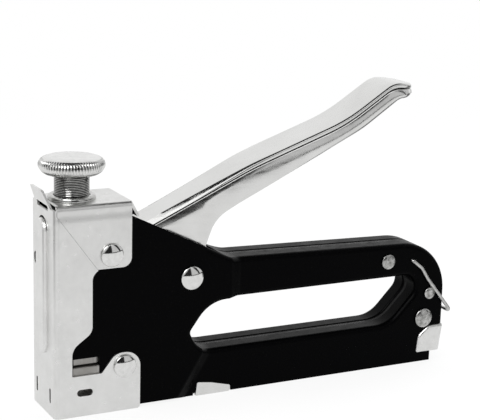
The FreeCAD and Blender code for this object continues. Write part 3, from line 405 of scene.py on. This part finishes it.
satin_nickel, shader = surface("satin_nickel", (0.79, 0.79, 0.78), 0.32, 1.0)
tree = satin_nickel.node_tree
cloud = grain(tree, 70, detail=5)
fleck = grain(tree, 1900, detail=2)
tree.links.new(ramp(tree, cloud, [(0.3, (0.75, 0.75, 0.74)), (0.7, (0.84, 0.84, 0.83))]),
               shader.inputs["Base Color"])
roughen(tree, shader, grain(tree, 420, detail=6), 0.26, 0.42)
cap_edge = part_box("top_cap")[1].z
draw = rise(tree, coordinates(tree)[2], cap_edge - 3.5 * MM, cap_edge - 7.5 * MM)
emboss(tree, shader, [(draw, 0.0003, 1.0), (cloud, 0.00008, 0.15), (fleck, 0.000004, 0.3)])
print("satin nickel: a soft cloud of tones and fine flecks")

# %% [markdown]
# The handle is buffed lengthwise, and its rolled groove is painted near black: painted shade for the
# shadow down in the groove. The groove is a line in the mesh, not a place in space, so a mark on each
# vertex, 1 in the groove and 0 elsewhere, tells the finish where it is. Noise added to the mark makes
# the painted shade's edge ragged.

# %% Handle finish


def painted_shade_over(tree, clean, mask, tone):
    """Mix a dark tone over a colour where a mask is 1; here the dark tone is painted shade."""
    mix = tree.nodes.new("ShaderNodeMix")
    mix.data_type = "RGBA"
    tree.links.new(mask, mix.inputs["Factor"])
    tree.links.new(clean, mix.inputs["A"])
    mix.inputs["B"].default_value = (tone, tone, tone, 1)
    return mix.outputs["Result"]


handle_plate, shader = surface("handle_plate", (0.74, 0.74, 0.73), 0.14, 1.0)
tree = handle_plate.node_tree
buffing = grain(tree, 700, stretch=(0.05, 1, 1), turn=math.radians(-29), detail=3)
plate = ramp(tree, grain(tree, 45, detail=3), [(0.3, (0.70, 0.70, 0.69)), (0.7, (0.78, 0.78, 0.77))])
groove_mark = tree.nodes.new("ShaderNodeAttribute")
groove_mark.attribute_name = "groove"
unevenness = times(tree, plus(tree, grain(tree, 900, detail=3), -0.5), 0.5)
ragged = plus(tree, groove_mark.outputs["Fac"], unevenness)
# Painted shade: where the groove mark is 1 the plate is painted near black (0.015), for the shadow in the
# groove.
tree.links.new(painted_shade_over(tree, plate, rise(tree, ragged, 0.45, 0.6), 0.015), shader.inputs["Base Color"])
roughen(tree, shader, buffing, 0.10, 0.22)
emboss(tree, shader, [(grain(tree, 60, detail=2), 0.0001, 0.2), (buffing, 0.000006, 0.4)])
# The dull black in the rolled groove is painted shade.
print("handle plate: buffed lengthwise, dull black left in the rolled groove")

# %% [markdown]
# Two finishes serve the six rivets. The three at the front are bright, and mirror the room sharply.
# The three at the rear have gone dull: patches of tone from coarse noise, and a rougher plating.

# %% Rivet heads
chrome, shader = surface("chrome_head", (0.76, 0.76, 0.75), 0.07, 1.0)
tree = chrome.node_tree
tree.links.new(ramp(tree, grain(tree, 500), [(0.35, (0.72, 0.72, 0.71)), (0.65, (0.8, 0.8, 0.79))]),
               shader.inputs["Base Color"])
roughen(tree, shader, grain(tree, 900, detail=4), 0.05, 0.13)
emboss(tree, shader, [(grain(tree, 380, detail=2), 0.00003, 0.25)])

dull_head, shader = surface("dull_head", (0.5, 0.5, 0.49), 0.2, 1.0)
tree = dull_head.node_tree
tree.links.new(ramp(tree, grain(tree, 420, detail=5), [
    (0.35, (0.22, 0.22, 0.21)), (0.6, (0.58, 0.58, 0.57))]), shader.inputs["Base Color"])
roughen(tree, shader, grain(tree, 700, detail=4), 0.12, 0.34)
emboss(tree, shader, [(grain(tree, 600, detail=3), 0.00003, 0.4)])
print("rivet heads: chrome at the front, mottled at the rear")

# %% [markdown]
# The wire, the springs and the parts inside are plainer: zinc on the bail, drawn steel on the striker
# and the guides, spring steel, and rubber on the bumper. Drawn steel has its noise stretched upward, the
# way it was drawn.

# %% Wire, steel and rubber
zinc_wire, shader = surface("zinc_wire", (0.56, 0.56, 0.55), 0.3, 1.0)
tree = zinc_wire.node_tree
tree.links.new(ramp(tree, grain(tree, 600), [(0.3, (0.42, 0.42, 0.41)), (0.7, (0.66, 0.66, 0.65))]),
               shader.inputs["Base Color"])
roughen(tree, shader, grain(tree, 1200), 0.22, 0.45)
emboss(tree, shader, [(grain(tree, 1400, stretch=(0.3, 1, 0.3)), 0.00002, 0.5)])

tool_steel, shader = surface("tool_steel", (0.36, 0.355, 0.34), 0.36, 1.0)
tree = tool_steel.node_tree
drawn = grain(tree, 1500, stretch=(1, 1, 0.06), detail=3)
tree.links.new(ramp(tree, grain(tree, 90, detail=5), [
    (0.3, (0.30, 0.29, 0.27)), (0.7, (0.42, 0.41, 0.40))]), shader.inputs["Base Color"])
roughen(tree, shader, drawn, 0.28, 0.5)
emboss(tree, shader, [(drawn, 0.000015, 0.5)])

spring_steel, shader = surface("spring_steel", (0.42, 0.42, 0.42), 0.3, 1.0)
tree = spring_steel.node_tree
roughen(tree, shader, grain(tree, 800), 0.22, 0.42)
tree.links.new(ramp(tree, grain(tree, 300), [(0.3, 0.36), (0.7, 0.5)]), shader.inputs["Base Color"])
emboss(tree, shader, [(grain(tree, 1600), 0.00001, 0.5)])

bumper_rubber, shader = surface("bumper_rubber", (0.02, 0.02, 0.02), 0.7)
tree = bumper_rubber.node_tree
roughen(tree, shader, grain(tree, 700), 0.55, 0.85)
emboss(tree, shader, [(grain(tree, 1500), 0.00004, 0.5)])
print("inner finishes: zinc, tool steel, spring steel, rubber")

# %% [markdown]
# The hollows of the knob's flutes and the root of its thread are darkened with painted shade, for the
# shadow that falls in them. It could be painted by hand. Here it is placed by sums on the angle round
# the knob's axis, the height and the distance from the axis, so it follows the flutes that are cut below.

# %% Knob and screw finish


def around_knob(tree):
    """Distance from the knob's axis and height, both in mm, and the angle round it in turns."""
    axis_x = (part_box("adjusting_knob")[0].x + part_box("adjusting_knob")[1].x) / 2
    along, across, height = coordinates(tree)
    along = maths(tree, "SUBTRACT", along, axis_x)
    distance = maths(tree, "SQRT", plus(tree, times(tree, along, along), times(tree, across, across)))
    turns = maths(tree, "DIVIDE", maths(tree, "ARCTAN2", across, along), math.tau)
    return maths(tree, "DIVIDE", distance, MM), maths(tree, "DIVIDE", height, MM), turns


knob_flutes = 66
flute_phase = 0.125
thread_root_radius = (7.39, 7.28)

knob_plate, shader = surface("knob_plate", (0.76, 0.76, 0.75), 0.14, 1.0)
tree = knob_plate.node_tree
plate = ramp(tree, grain(tree, 300, detail=4), [(0.35, (0.70, 0.70, 0.69)), (0.65, (0.80, 0.80, 0.79))])
height, turns = around_knob(tree)[1:]
flute = maths(tree, "FRACT", plus(tree, times(tree, turns, knob_flutes), knob_flutes + flute_phase))
belt_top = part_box("adjusting_knob")[1].z / MM
# Painted shade: the hollow half of each flute, across the belt, is darkened to 0.1.
hollow = times(tree, rise(tree, flute, 0.46, 0.40), rise(tree, flute, 0.02, 0.08),
               rise(tree, height, belt_top - 0.7, belt_top - 1.2),
               rise(tree, height, belt_top - 4.2, belt_top - 2.6))
tree.links.new(painted_shade_over(tree, plate, hollow, 0.1), shader.inputs["Base Color"])
roughen(tree, shader, grain(tree, 800, detail=5), 0.10, 0.22)
emboss(tree, shader, [(grain(tree, 150, detail=2), 0.00005, 0.2)])

screw_plate, shader = surface("screw_plate", (0.42, 0.42, 0.41), 0.14, 1.0)
tree = screw_plate.node_tree
plate = ramp(tree, grain(tree, 700, detail=4), [(0.3, (0.42, 0.42, 0.41)), (0.6, (0.58, 0.58, 0.57))])
# Painted shade: the thread's root, inside the root radius, is darkened to 0.015.
in_root = rise(tree, around_knob(tree)[0], *thread_root_radius)
tree.links.new(painted_shade_over(tree, plate, in_root, 0.015), shader.inputs["Base Color"])
roughen(tree, shader, grain(tree, 1100, detail=4), 0.08, 0.16)
emboss(tree, shader, [(grain(tree, 500, detail=2), 0.00001, 0.3)])
# The darkening in the flutes and in the thread root is painted shade.
print("knob finish: dirt in", knob_flutes, "flutes and in the thread")

# %% [markdown]
# ## Plain solids
#
# The pieces whose solid is already right keep it and only get their finish. So do the solids that are
# modelled again below, though they don't show.

# %% Finish of each solid
finish_of = {
    "body_shell_left": black_enamel, "body_shell_right": black_enamel, "handle": handle_plate,
    "striker": tool_steel, "driver_blade": tool_steel, "nose_guide": tool_steel, "lift_arm": tool_steel,
    "bail": zinc_wire, "striker_bumper": bumper_rubber, "main_spring": spring_steel,
    "return_spring": spring_steel, "follower_spring": spring_steel, "staple_rail": tool_steel,
    "magazine_channel": zinc_wire, "guide_rod": chrome, "follower": tool_steel,
    "pivot_sleeve": tool_steel, "threaded_bush": knob_plate, "adjusting_knob": knob_plate,
}
for name, node in nodes.items():
    finish = chrome if name.endswith("_rivet") else finish_of.get(name, satin_nickel)
    node.data.materials.clear()
    node.data.materials.append(finish)
print("finishes:", len({slot.name for node in nodes.values() for slot in node.data.materials}))

# %% [markdown]
# ## Round pieces, ring by ring
#
# A turned piece is drawn as a stack of rings. A circle is added at the first ring's size and place, and
# each following ring is extruded from the last one, then scaled about the piece's axis. The last ring
# either closes on the axis or comes back to the first one. Spinning a profile gives the same shape, but
# in a stack each ring's radius and height can be read and changed by itself.

# %% Rings
weld_gap = 0.02


def clear_selection():
    """Object mode with nothing selected, so that the next piece starts clean."""
    if bpy.context.object and bpy.context.object.mode == "EDIT":
        bpy.ops.object.mode_set(mode="OBJECT")
    bpy.ops.object.select_all(action="DESELECT")


def select_all_in_edit_mode():
    """Edit mode on the active piece, with all of it selected."""
    bpy.ops.object.mode_set(mode="EDIT")
    bpy.ops.mesh.select_all(action="SELECT")


def weld(threshold):
    """Merge doubles closer than a threshold in mm, then turn the faces outward."""
    bpy.ops.mesh.remove_doubles(threshold=threshold * MM)
    bpy.ops.mesh.normals_make_consistent(inside=False)


def apply_modifier(piece, kind, **settings):
    """Add a modifier with its settings and make its result the mesh."""
    modifier = piece.modifiers.new(kind.lower(), kind)
    for setting, value in settings.items():
        setattr(modifier, setting, value)
    bpy.ops.object.modifier_apply(modifier=modifier.name)


def ring_stack(name, centre, axis, profile, sides, close_last=True):
    """A turned piece in mm: profile is (radius, distance along the axis) for each ring.

    The piece is left in edit mode. Its last ring is merged to a point if close_last is true.
    """
    clear_selection()
    along = Vector(axis)
    lead_radius, lead_step = profile[0]
    turn = (math.pi / 2, 0, 0) if along.y else (0, 0, 0)
    bpy.ops.mesh.primitive_circle_add(vertices=sides, radius=lead_radius * MM, fill_type="NOTHING",
                                      location=mm(*centre) + along * lead_step * MM, rotation=turn)
    piece = bpy.context.object
    piece.name = name
    bpy.ops.object.transform_apply(location=True, rotation=True, scale=True)
    select_all_in_edit_mode()
    radius, step = lead_radius, lead_step
    for next_radius, next_step in profile[1:]:
        grow = next_radius / radius
        scale = (grow, 1, grow) if along.y else (grow, grow, 1)
        bpy.ops.mesh.extrude_region_move(
            TRANSFORM_OT_translate={"value": along * (next_step - step) * MM})
        bpy.ops.transform.resize(value=scale, center_override=mm(*centre) + along * next_step * MM)
        radius, step = next_radius, next_step
    if close_last:
        bpy.ops.mesh.merge(type="CENTER")
    return piece


def finish_piece(piece, finish, smooth_degrees=40):
    """Weld doubles, turn the faces outward, smooth the shading and give the piece its finish."""
    select_all_in_edit_mode()
    weld(weld_gap)
    bpy.ops.object.mode_set(mode="OBJECT")
    bpy.ops.object.select_all(action="DESELECT")
    piece.select_set(True)
    bpy.context.view_layer.objects.active = piece
    bpy.ops.object.shade_smooth_by_angle(angle=math.radians(smooth_degrees))
    piece.data.materials.clear()
    piece.data.materials.append(finish)
    print(piece.name, len(piece.data.polygons), "faces")


# %% [markdown]
# ## Rivets
#
# Six rivets run right across the tool. Half a rivet is drawn from the middle of its shank outward: the
# shank, the underside of the head, a rounded rim that stands just off the sheet, and a low dome. A
# mirror across the tool's middle gives the other head. A squashed sphere would be quicker, but it has no
# rim, and the rim is what catches the light round each head.

# %% Rivets
shank_share = 0.48
head_gap = 0.3
rim_base = 0.3
rim_underside = ((0.35, 0.0), (0.08, 0.12))
rim_turns = (20, 40, 55, 66)
rivet_sides = 72
dome_steps, dome_turn = 8, 11


def rivet(node_name, face_y, head_radius, crown, rim=0.5, finish=chrome):
    """One rivet in mm, on the axis of the CAD rivet that it stands for.

    The head sits on the sheet at face_y. Its edge is rounded by rim and its dome rises by crown.
    """
    low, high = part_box(node_name)
    axis = (low + high) / 2 / MM
    shank_radius = head_radius * shank_share
    under = face_y + head_gap
    edge = under + rim_base
    profile = [(shank_radius, 0), (shank_radius, under),
               *((head_radius - inset, under + up_by) for inset, up_by in rim_underside),
               (head_radius, edge)]
    for turn in rim_turns:
        profile.append((head_radius - rim * (1 - math.cos(math.radians(turn))),
                        edge + rim * math.sin(math.radians(turn))))
    shoulder, height = profile[-1]
    ball = (shoulder ** 2 + crown ** 2) / (2 * crown)
    for step in range(1, dome_steps + 1):
        radius = shoulder * math.cos(math.radians(dome_turn * step))
        profile.append((radius, height + crown - ball + math.sqrt(ball ** 2 - radius ** 2)))
    piece = ring_stack(node_name + "_head", (axis.x, 0, axis.z), (0, -1, 0), profile, rivet_sides)
    bpy.ops.object.mode_set(mode="OBJECT")
    apply_modifier(piece, "MIRROR", use_axis=(False, True, False), merge_threshold=weld_gap * MM)
    finish_piece(piece, finish)
    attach(piece, "body")
    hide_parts(node_name)


nose_face, block_face, grip_face = 14.05, 13.0, 10.0
rivet("cap_rivet", nose_face, head_radius=4.95, crown=1.15)
rivet("nose_rivet", nose_face, head_radius=4.95, crown=1.0)
rivet("pivot_rivet", block_face, head_radius=5.2, crown=1.25)
rivet("grip_rivet", grip_face, head_radius=3.5, crown=0.6, rim=0.4, finish=dull_head)
rivet("small_rivet", grip_face, head_radius=2.8, crown=0.4, rim=0.35, finish=dull_head)
rivet("rear_rivet", grip_face, head_radius=4.6, crown=0.95, finish=dull_head)

# %% [markdown]
# ## The adjusting knob
#
# The knob is a bun-shaped disc on a hollow screw. The disc is a ring stack too, with four sides to each
# flute. Flutes could be cut out one by one, which leaves ragged faces. Here every other strip of the
# belt is pulled inward, towards the axis, and the mesh stays whole. Each ring is a radius in mm and a
# share of the disc's height.

# %% Knob disc
knob_low, knob_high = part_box("adjusting_knob")
knob_centre = (knob_low + knob_high) / 2 / MM
knob_axis = (knob_centre.x, 0, 0)
knob_top = knob_high.z / MM
knob_rise = 6.9
knob_foot = knob_top - knob_rise + 0.2
belt_foot, belt_crest = (knob_foot + share * knob_rise for share in (0.13, 0.85))
flute_pull = 0.962
sides_per_flute = 4
bun = [(6.6, 0.07), (11.0, 0.0), (11.5, 0.02), (12.6, 0.14), (13.3, 0.27), (13.75, 0.4), (13.88, 0.51),
       (13.8, 0.62), (13.5, 0.73), (12.9, 0.835), (12.1, 0.915), (11.0, 0.965), (9.4, 0.985), (6.0, 0.995),
       (2.0, 1.0)]
disc_rings = [(radius, knob_foot + share * knob_rise) for radius, share in bun]
disc = ring_stack("knob_disc", knob_axis, (0, 0, 1), disc_rings, knob_flutes * sides_per_flute)


def pick(test):
    """Select the vertices of the piece in edit mode whose place, in mm, passes a test."""
    bpy.ops.mesh.select_all(action="DESELECT")
    mesh = bmesh.from_edit_mesh(bpy.context.object.data)
    for vertex in mesh.verts:
        vertex.select = test(vertex.co / MM)
    mesh.select_flush_mode()
    bmesh.update_edit_mesh(bpy.context.object.data)


def in_flute(place):
    """True for the belt's vertices in the hollow half of each flute."""
    turn = math.atan2(place.y, place.x - knob_centre.x) / math.tau * knob_flutes
    return belt_foot < place.z < belt_crest and (turn + flute_phase) % 1 < 0.5


bpy.ops.mesh.select_mode(type="VERT")
pick(in_flute)
bpy.ops.transform.resize(value=(flute_pull, flute_pull, 1), center_override=mm(*knob_axis))
finish_piece(disc, knob_plate, 50)
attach(disc, "knob")
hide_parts("adjusting_knob")

# %% [markdown]
# The thread is what makes the screw glitter, so it is a real one and not a stack of grooves. It starts
# as one point, extruded into the outline of a single thread: steps outward in shares of the thread's
# depth, and upward in shares of its pitch. The Screw modifier winds that outline up the axis, and
# Solidify gives the hollow screw its wall.

# %% Screw
thread_pitch = 0.7
thread_depth = 0.18
screw_radius = 7.4
screw_wall = 0.7
screw_bottom = knob_low.z / MM
screw_in_disc = 0.6
screw_turns = int((knob_foot + screw_in_disc - screw_bottom) / thread_pitch)
thread_outline = ((1, 0.38), (0, 0.14), (-1, 0.38), (0, 0.10))
wound_gap = 0.01


def wind(piece, steps, pitch, turns):
    """Turn an outline round Z and up by pitch mm a turn, and make the result the mesh."""
    apply_modifier(piece, "SCREW", axis="Z", steps=steps, screw_offset=pitch * MM, iterations=turns,
                   use_merge_vertices=True, merge_threshold=wound_gap * MM)


clear_selection()
bpy.ops.mesh.primitive_plane_add(size=MM, location=(0, 0, 0))
screw = bpy.context.object
screw.name = "knob_screw"
select_all_in_edit_mode()
bpy.ops.mesh.merge(type="CENTER")
bpy.ops.transform.translate(value=mm(screw_radius - thread_depth, 0, 0))
for out, up_by in thread_outline:
    bpy.ops.mesh.extrude_region_move(
        TRANSFORM_OT_translate={"value": mm(out * thread_depth, 0, up_by * thread_pitch)})
bpy.ops.object.mode_set(mode="OBJECT")
wind(screw, steps=72, pitch=thread_pitch, turns=screw_turns)
select_all_in_edit_mode()
weld(wound_gap)
bpy.ops.transform.translate(value=mm(knob_centre.x, 0, screw_bottom))
bpy.ops.object.mode_set(mode="OBJECT")
apply_modifier(screw, "SOLIDIFY", thickness=screw_wall * MM, offset=-1)
finish_piece(screw, screw_plate, 25)
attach(screw, "knob")
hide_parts("adjusting_knob")
print("thread turns:", screw_turns)

# %% [markdown]
# The screw runs in a flanged bush on the cap. It is a closed ring: its stack of rings ends on the first
# one again, so it needs no wall of its own. The flange's rounded edge is listed as how far in and how
# far down each ring lies.

# %% Bush
bush_low, bush_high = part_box("threaded_bush")
bush_foot, bush_top = bush_low.z / MM, bush_high.z / MM
flange_radius = (bush_high.x - bush_low.x) / 2 / MM
tube_radius = screw_radius + 1.6
bore_radius = screw_radius + 0.25
bore_edge = 0.3
flange_thickness = 2.0
flange_edge = [(0.15, 2.0), (0.0, 1.85), (0.0, 0.9), (0.25, 0.35), (0.8, 0.05), (1.4, 0.0)]
bush = ring_stack("screw_bush", knob_axis, (0, 0, 1), [
    (bore_radius, bush_foot), (tube_radius, bush_foot), (tube_radius, bush_top - flange_thickness),
    *((flange_radius - inset, bush_top - drop) for inset, drop in flange_edge),
    (bore_radius + bore_edge, bush_top), (bore_radius, bush_top - bore_edge),
    (bore_radius, bush_foot)], 96, close_last=False)
finish_piece(bush, screw_plate)
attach(bush, "body")
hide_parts("threaded_bush")

# %% [markdown]
# ## The squeeze handle
#
# The handle is one steel sheet, pressed into a channel. Its top is nearly flat, its long edges roll over
# into a groove, and the side walls bulge a little under it. The solid has the right line but a plain
# section, so a skin is bent over that line: rays feel where its top and its lower edge are, and a flat
# grid, the blank, is laid over them. Each row of the grid is one place along the handle, and each column
# one place round the section. A mirror makes the far half, and Solidify gives the sheet its thickness.

# %% Line and section of the handle
handle_solid = nodes["handle"].data
feeler = BVHTree.FromPolygons([vertex.co for vertex in handle_solid.vertices],
                              [polygon.vertices for polygon in handle_solid.polygons])
handle_low, handle_high = (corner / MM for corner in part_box("handle"))
handle_half = handle_high.y
wall_inset = 0.7
tip_round = 7.5
tip_centre_x = handle_high.x - tip_round - 0.9
tip_lift = 2.6
front_inset, front_drop = 2.0, 0.8
front_end_x, front_length = 105, 60
edge_radius, edge_growth = 1.1, 1.0
chamfer_width, chamfer_start, chamfer_depth = 1.45, 0.15, 2.2
bead_drop, bead_growth = 2.2, 0.5
# Over the flat top: inset from the side and drop. Round the groove: inset, drop below the bead, and mark.
top_crown = ((6.5, 0.02), (3.6, 0.06))
groove_shape = ((0.1, -0.25, 0), (0.45, 0.0, 0), (1.2, 0.2, 1), (1.3, 0.55, 1),
                (1.0, 0.85, 0.5), (0.75, 1.3, 0))


def top_line(x):
    """Height of the handle's top at a place along it, in mm."""
    hit = feeler.ray_cast(mm(min(x, handle_high.x - 0.15), 0.5, 200), Vector((0, 0, -1)))[0]
    return hit.z / MM


def low_line(x):
    """Height of the wall's lower edge at a place along the handle, in mm."""
    below = mm(min(x, tip_centre_x + 0.5), 0.5 + wall_inset - handle_half, -10)
    hit = feeler.ray_cast(below, Vector((0, 0, 1)))[0]
    return hit.z / MM


def narrowing(x):
    """1 at the handle's front, where it runs narrow and chamfered into the body, 0 from its middle on."""
    share = min(max((front_end_x - x) / front_length, 0), 1)
    return share * share * (3 - 2 * share)


def section(x):
    """The section at a place along the handle: (inset from its side, drop below its top, groove mark)."""
    front = narrowing(x)
    bend = edge_radius + edge_growth * front
    set_in, sunk = front_inset * front, front_drop * front
    points = [(handle_half - set_in, 0, 0), *((inset, drop, 0) for inset, drop in top_crown),
              (bend + 0.5, 0.1, 0)]
    for turn in range(0, 91, 15):
        round_inset = bend * (1 - math.sin(math.radians(turn)))
        round_drop = 0.12 + bend * (1 - math.cos(math.radians(turn)))
        flat_inset = chamfer_width * (1 - turn / 90)
        flat_drop = chamfer_start + chamfer_depth * turn / 90
        points.append((round_inset + (flat_inset - round_inset) * front,
                       round_drop + (flat_drop - round_drop) * front, 0))
    bead = bead_drop + bead_growth * front
    points += [(inset, bead + drop, mark) for inset, drop, mark in groove_shape]
    return [(inset + set_in, drop + sunk, mark) for inset, drop, mark in points]


print("section at the handle's middle:", len(section(front_end_x)), "points")

# %% [markdown]
# Down the wall, below the groove, each column is a share of the wall's height and an inset from the
# handle's side in mm. Along the handle the rows stand a small step apart, and round the tip they turn.

# %% Rows and columns of the blank
bead_column = 11
tip_flattening = 0.85
row_step = 1.5
wall_bulge = ((0.15, 0.52), (0.35, 0.25), (0.55, 0.1), (0.75, 0.12), (0.9, 0.4), (1.0, 0.9))
row_count = math.ceil((tip_centre_x - 0.5 - handle_low.x) / row_step) - 1
straight_rows = [(handle_low.x + row_step + row_step * step, 0) for step in range(row_count)]
tip_rows = [(tip_centre_x, angle) for angle in range(0, 91, 9)]
rows = straight_rows + tip_rows + [(tip_centre_x, None)]
columns = len(section(0)) + len(wall_bulge)
print("handle blank:", len(rows), "rows by", columns, "columns")

# %% [markdown]
# Round the tip each row is swung outward by its angle, so that the tip's corners are rounded. The
# groove and the wall are drawn out towards the sheet's edge there. The last row has no angle: it lies on
# the handle's middle line, where the two halves meet.

# %% Where the blank comes to lie


def handle_place(row, column):
    """Where a point of the blank comes to lie, in mm, and how deep in the groove it is."""
    x, angle = row
    profile = section(x)
    if column < len(profile):
        inset, drop, mark = profile[column]
    else:
        share, inset = wall_bulge[column - len(profile)]
        inset += (wall_inset + front_inset - inset) * narrowing(x)
        mark = 0
    if angle is None or angle > 0:
        turn = math.radians(90 if angle is None else angle)
        if column > bead_column:
            inset *= 1 - tip_flattening * math.sin(turn)
        reach = max(tip_round - inset, 0)
        x += reach * math.sin(turn)
        side = handle_half - inset
        if inset < tip_round:
            side = handle_half - tip_round + reach * math.cos(turn)
        side = 0 if angle is None else side
        mark *= 1 - math.sin(turn)
    else:
        side = handle_half - inset
    if column < len(profile):
        return (x, -side, top_line(x) - drop), mark
    start = top_line(x) - profile[-1][1]
    low = low_line(x) + tip_lift * max(0, (x - tip_centre_x) / tip_round) ** 2
    return (x, -side, start + share * (low - start)), mark


print("front corner of the blank, in mm:", [round(side, 1) for side in handle_place(rows[0], 0)[0]])

# %% [markdown]
# The blank is a flat grid, and each vertex is laid in its place by its row and its column. A cloth or a
# lattice could drape it too, but not as exactly. An open sheet has no inside, so after the mirror the
# face on top tells which way is out.

# %% Blank laid over the line
handle_sheet = 0.9
clear_selection()
bpy.ops.mesh.primitive_grid_add(x_subdivisions=len(rows) - 1, y_subdivisions=columns - 1, size=1)
skin = bpy.context.object
skin.name = "handle_skin"
marks = skin.data.attributes.new("groove", "FLOAT", "POINT")
for vertex in skin.data.vertices:
    row = round((vertex.co.x + 0.5) * (len(rows) - 1))
    column = round((vertex.co.y + 0.5) * (columns - 1))
    spot, mark = handle_place(rows[row], column)
    vertex.co = mm(*spot)
    marks.data[vertex.index].value = mark
apply_modifier(skin, "MIRROR", use_axis=(False, True, False), merge_threshold=weld_gap * MM)
select_all_in_edit_mode()
weld(weld_gap)
bpy.ops.object.mode_set(mode="OBJECT")
highest = max(skin.data.polygons, key=lambda face: face.center.z)
if highest.normal.z < 0:
    bpy.ops.object.mode_set(mode="EDIT")
    bpy.ops.mesh.flip_normals()
    bpy.ops.object.mode_set(mode="OBJECT")
apply_modifier(skin, "SOLIDIFY", thickness=handle_sheet * MM, offset=-1)
bpy.ops.object.shade_smooth_by_angle(angle=math.radians(50))
skin.data.materials.clear()
skin.data.materials.append(handle_plate)
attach(skin, "lever")
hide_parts("handle")
print(skin.name, len(skin.data.polygons), "faces")

# %% [markdown]
# ## Springs
#
# The power spring is squeezed when the striker rises, and the follower's spring when the follower is
# pulled back. A solid can't shorten, so both are wound again here as coils, each with a mesh of its own.
# A curve with a bevel could draw the wire. The Screw modifier winds a ring of wire into the same coil and
# leaves a plain mesh, whose two ends are then filled.

# %% Springs


def wound_spring(name, start, end, mean_radius, wire, turns, finish):
    """A coil of round wire in mm between two points on a straight line along X or Z."""
    clear_selection()
    run = (Vector(end) - Vector(start)).length - wire
    bpy.ops.mesh.primitive_circle_add(vertices=10, radius=wire / 2 * MM, rotation=(math.pi / 2, 0, 0),
                                      location=mm(mean_radius, 0, wire / 2))
    coil = bpy.context.object
    coil.name = name
    bpy.ops.object.transform_apply(location=True, rotation=True, scale=True)
    wind(coil, steps=32, pitch=run / turns, turns=turns)
    select_all_in_edit_mode()
    bpy.ops.mesh.remove_doubles(threshold=wound_gap * MM)
    bpy.ops.mesh.select_all(action="DESELECT")
    bpy.ops.mesh.select_mode(type="EDGE")
    bpy.ops.mesh.select_non_manifold()
    bpy.ops.mesh.edge_face_add()
    bpy.ops.mesh.select_all(action="SELECT")
    if Vector(end).x != Vector(start).x:
        bpy.ops.transform.rotate(value=-math.pi / 2, orient_axis="Y", center_override=(0, 0, 0))
    bpy.ops.transform.translate(value=mm(*start))
    finish_piece(coil, finish, 60)
    return coil


spring_low, spring_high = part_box("main_spring")
spring_x = (spring_low.x + spring_high.x) / 2 / MM
power_spring = wound_spring("power_spring", (spring_x, 0, spring_low.z / MM),
                            (spring_x, 0, spring_high.z / MM),
                            mean_radius=4.7, wire=1.75, turns=15, finish=spring_steel)
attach(power_spring, "seat")
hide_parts("main_spring")
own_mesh(power_spring)

feed_low, feed_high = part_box("follower_spring")
feed_z = (feed_low.z + feed_high.z) / 2 / MM
feed_radius = (feed_high.z - feed_low.z) / 2 / MM - 0.35
feed_spring = wound_spring("feed_spring", (feed_low.x / MM, 0, feed_z), (feed_high.x / MM, 0, feed_z),
                           mean_radius=feed_radius, wire=0.68, turns=46, finish=spring_steel)
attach(feed_spring, "loader")
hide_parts("follower_spring")
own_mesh(feed_spring)
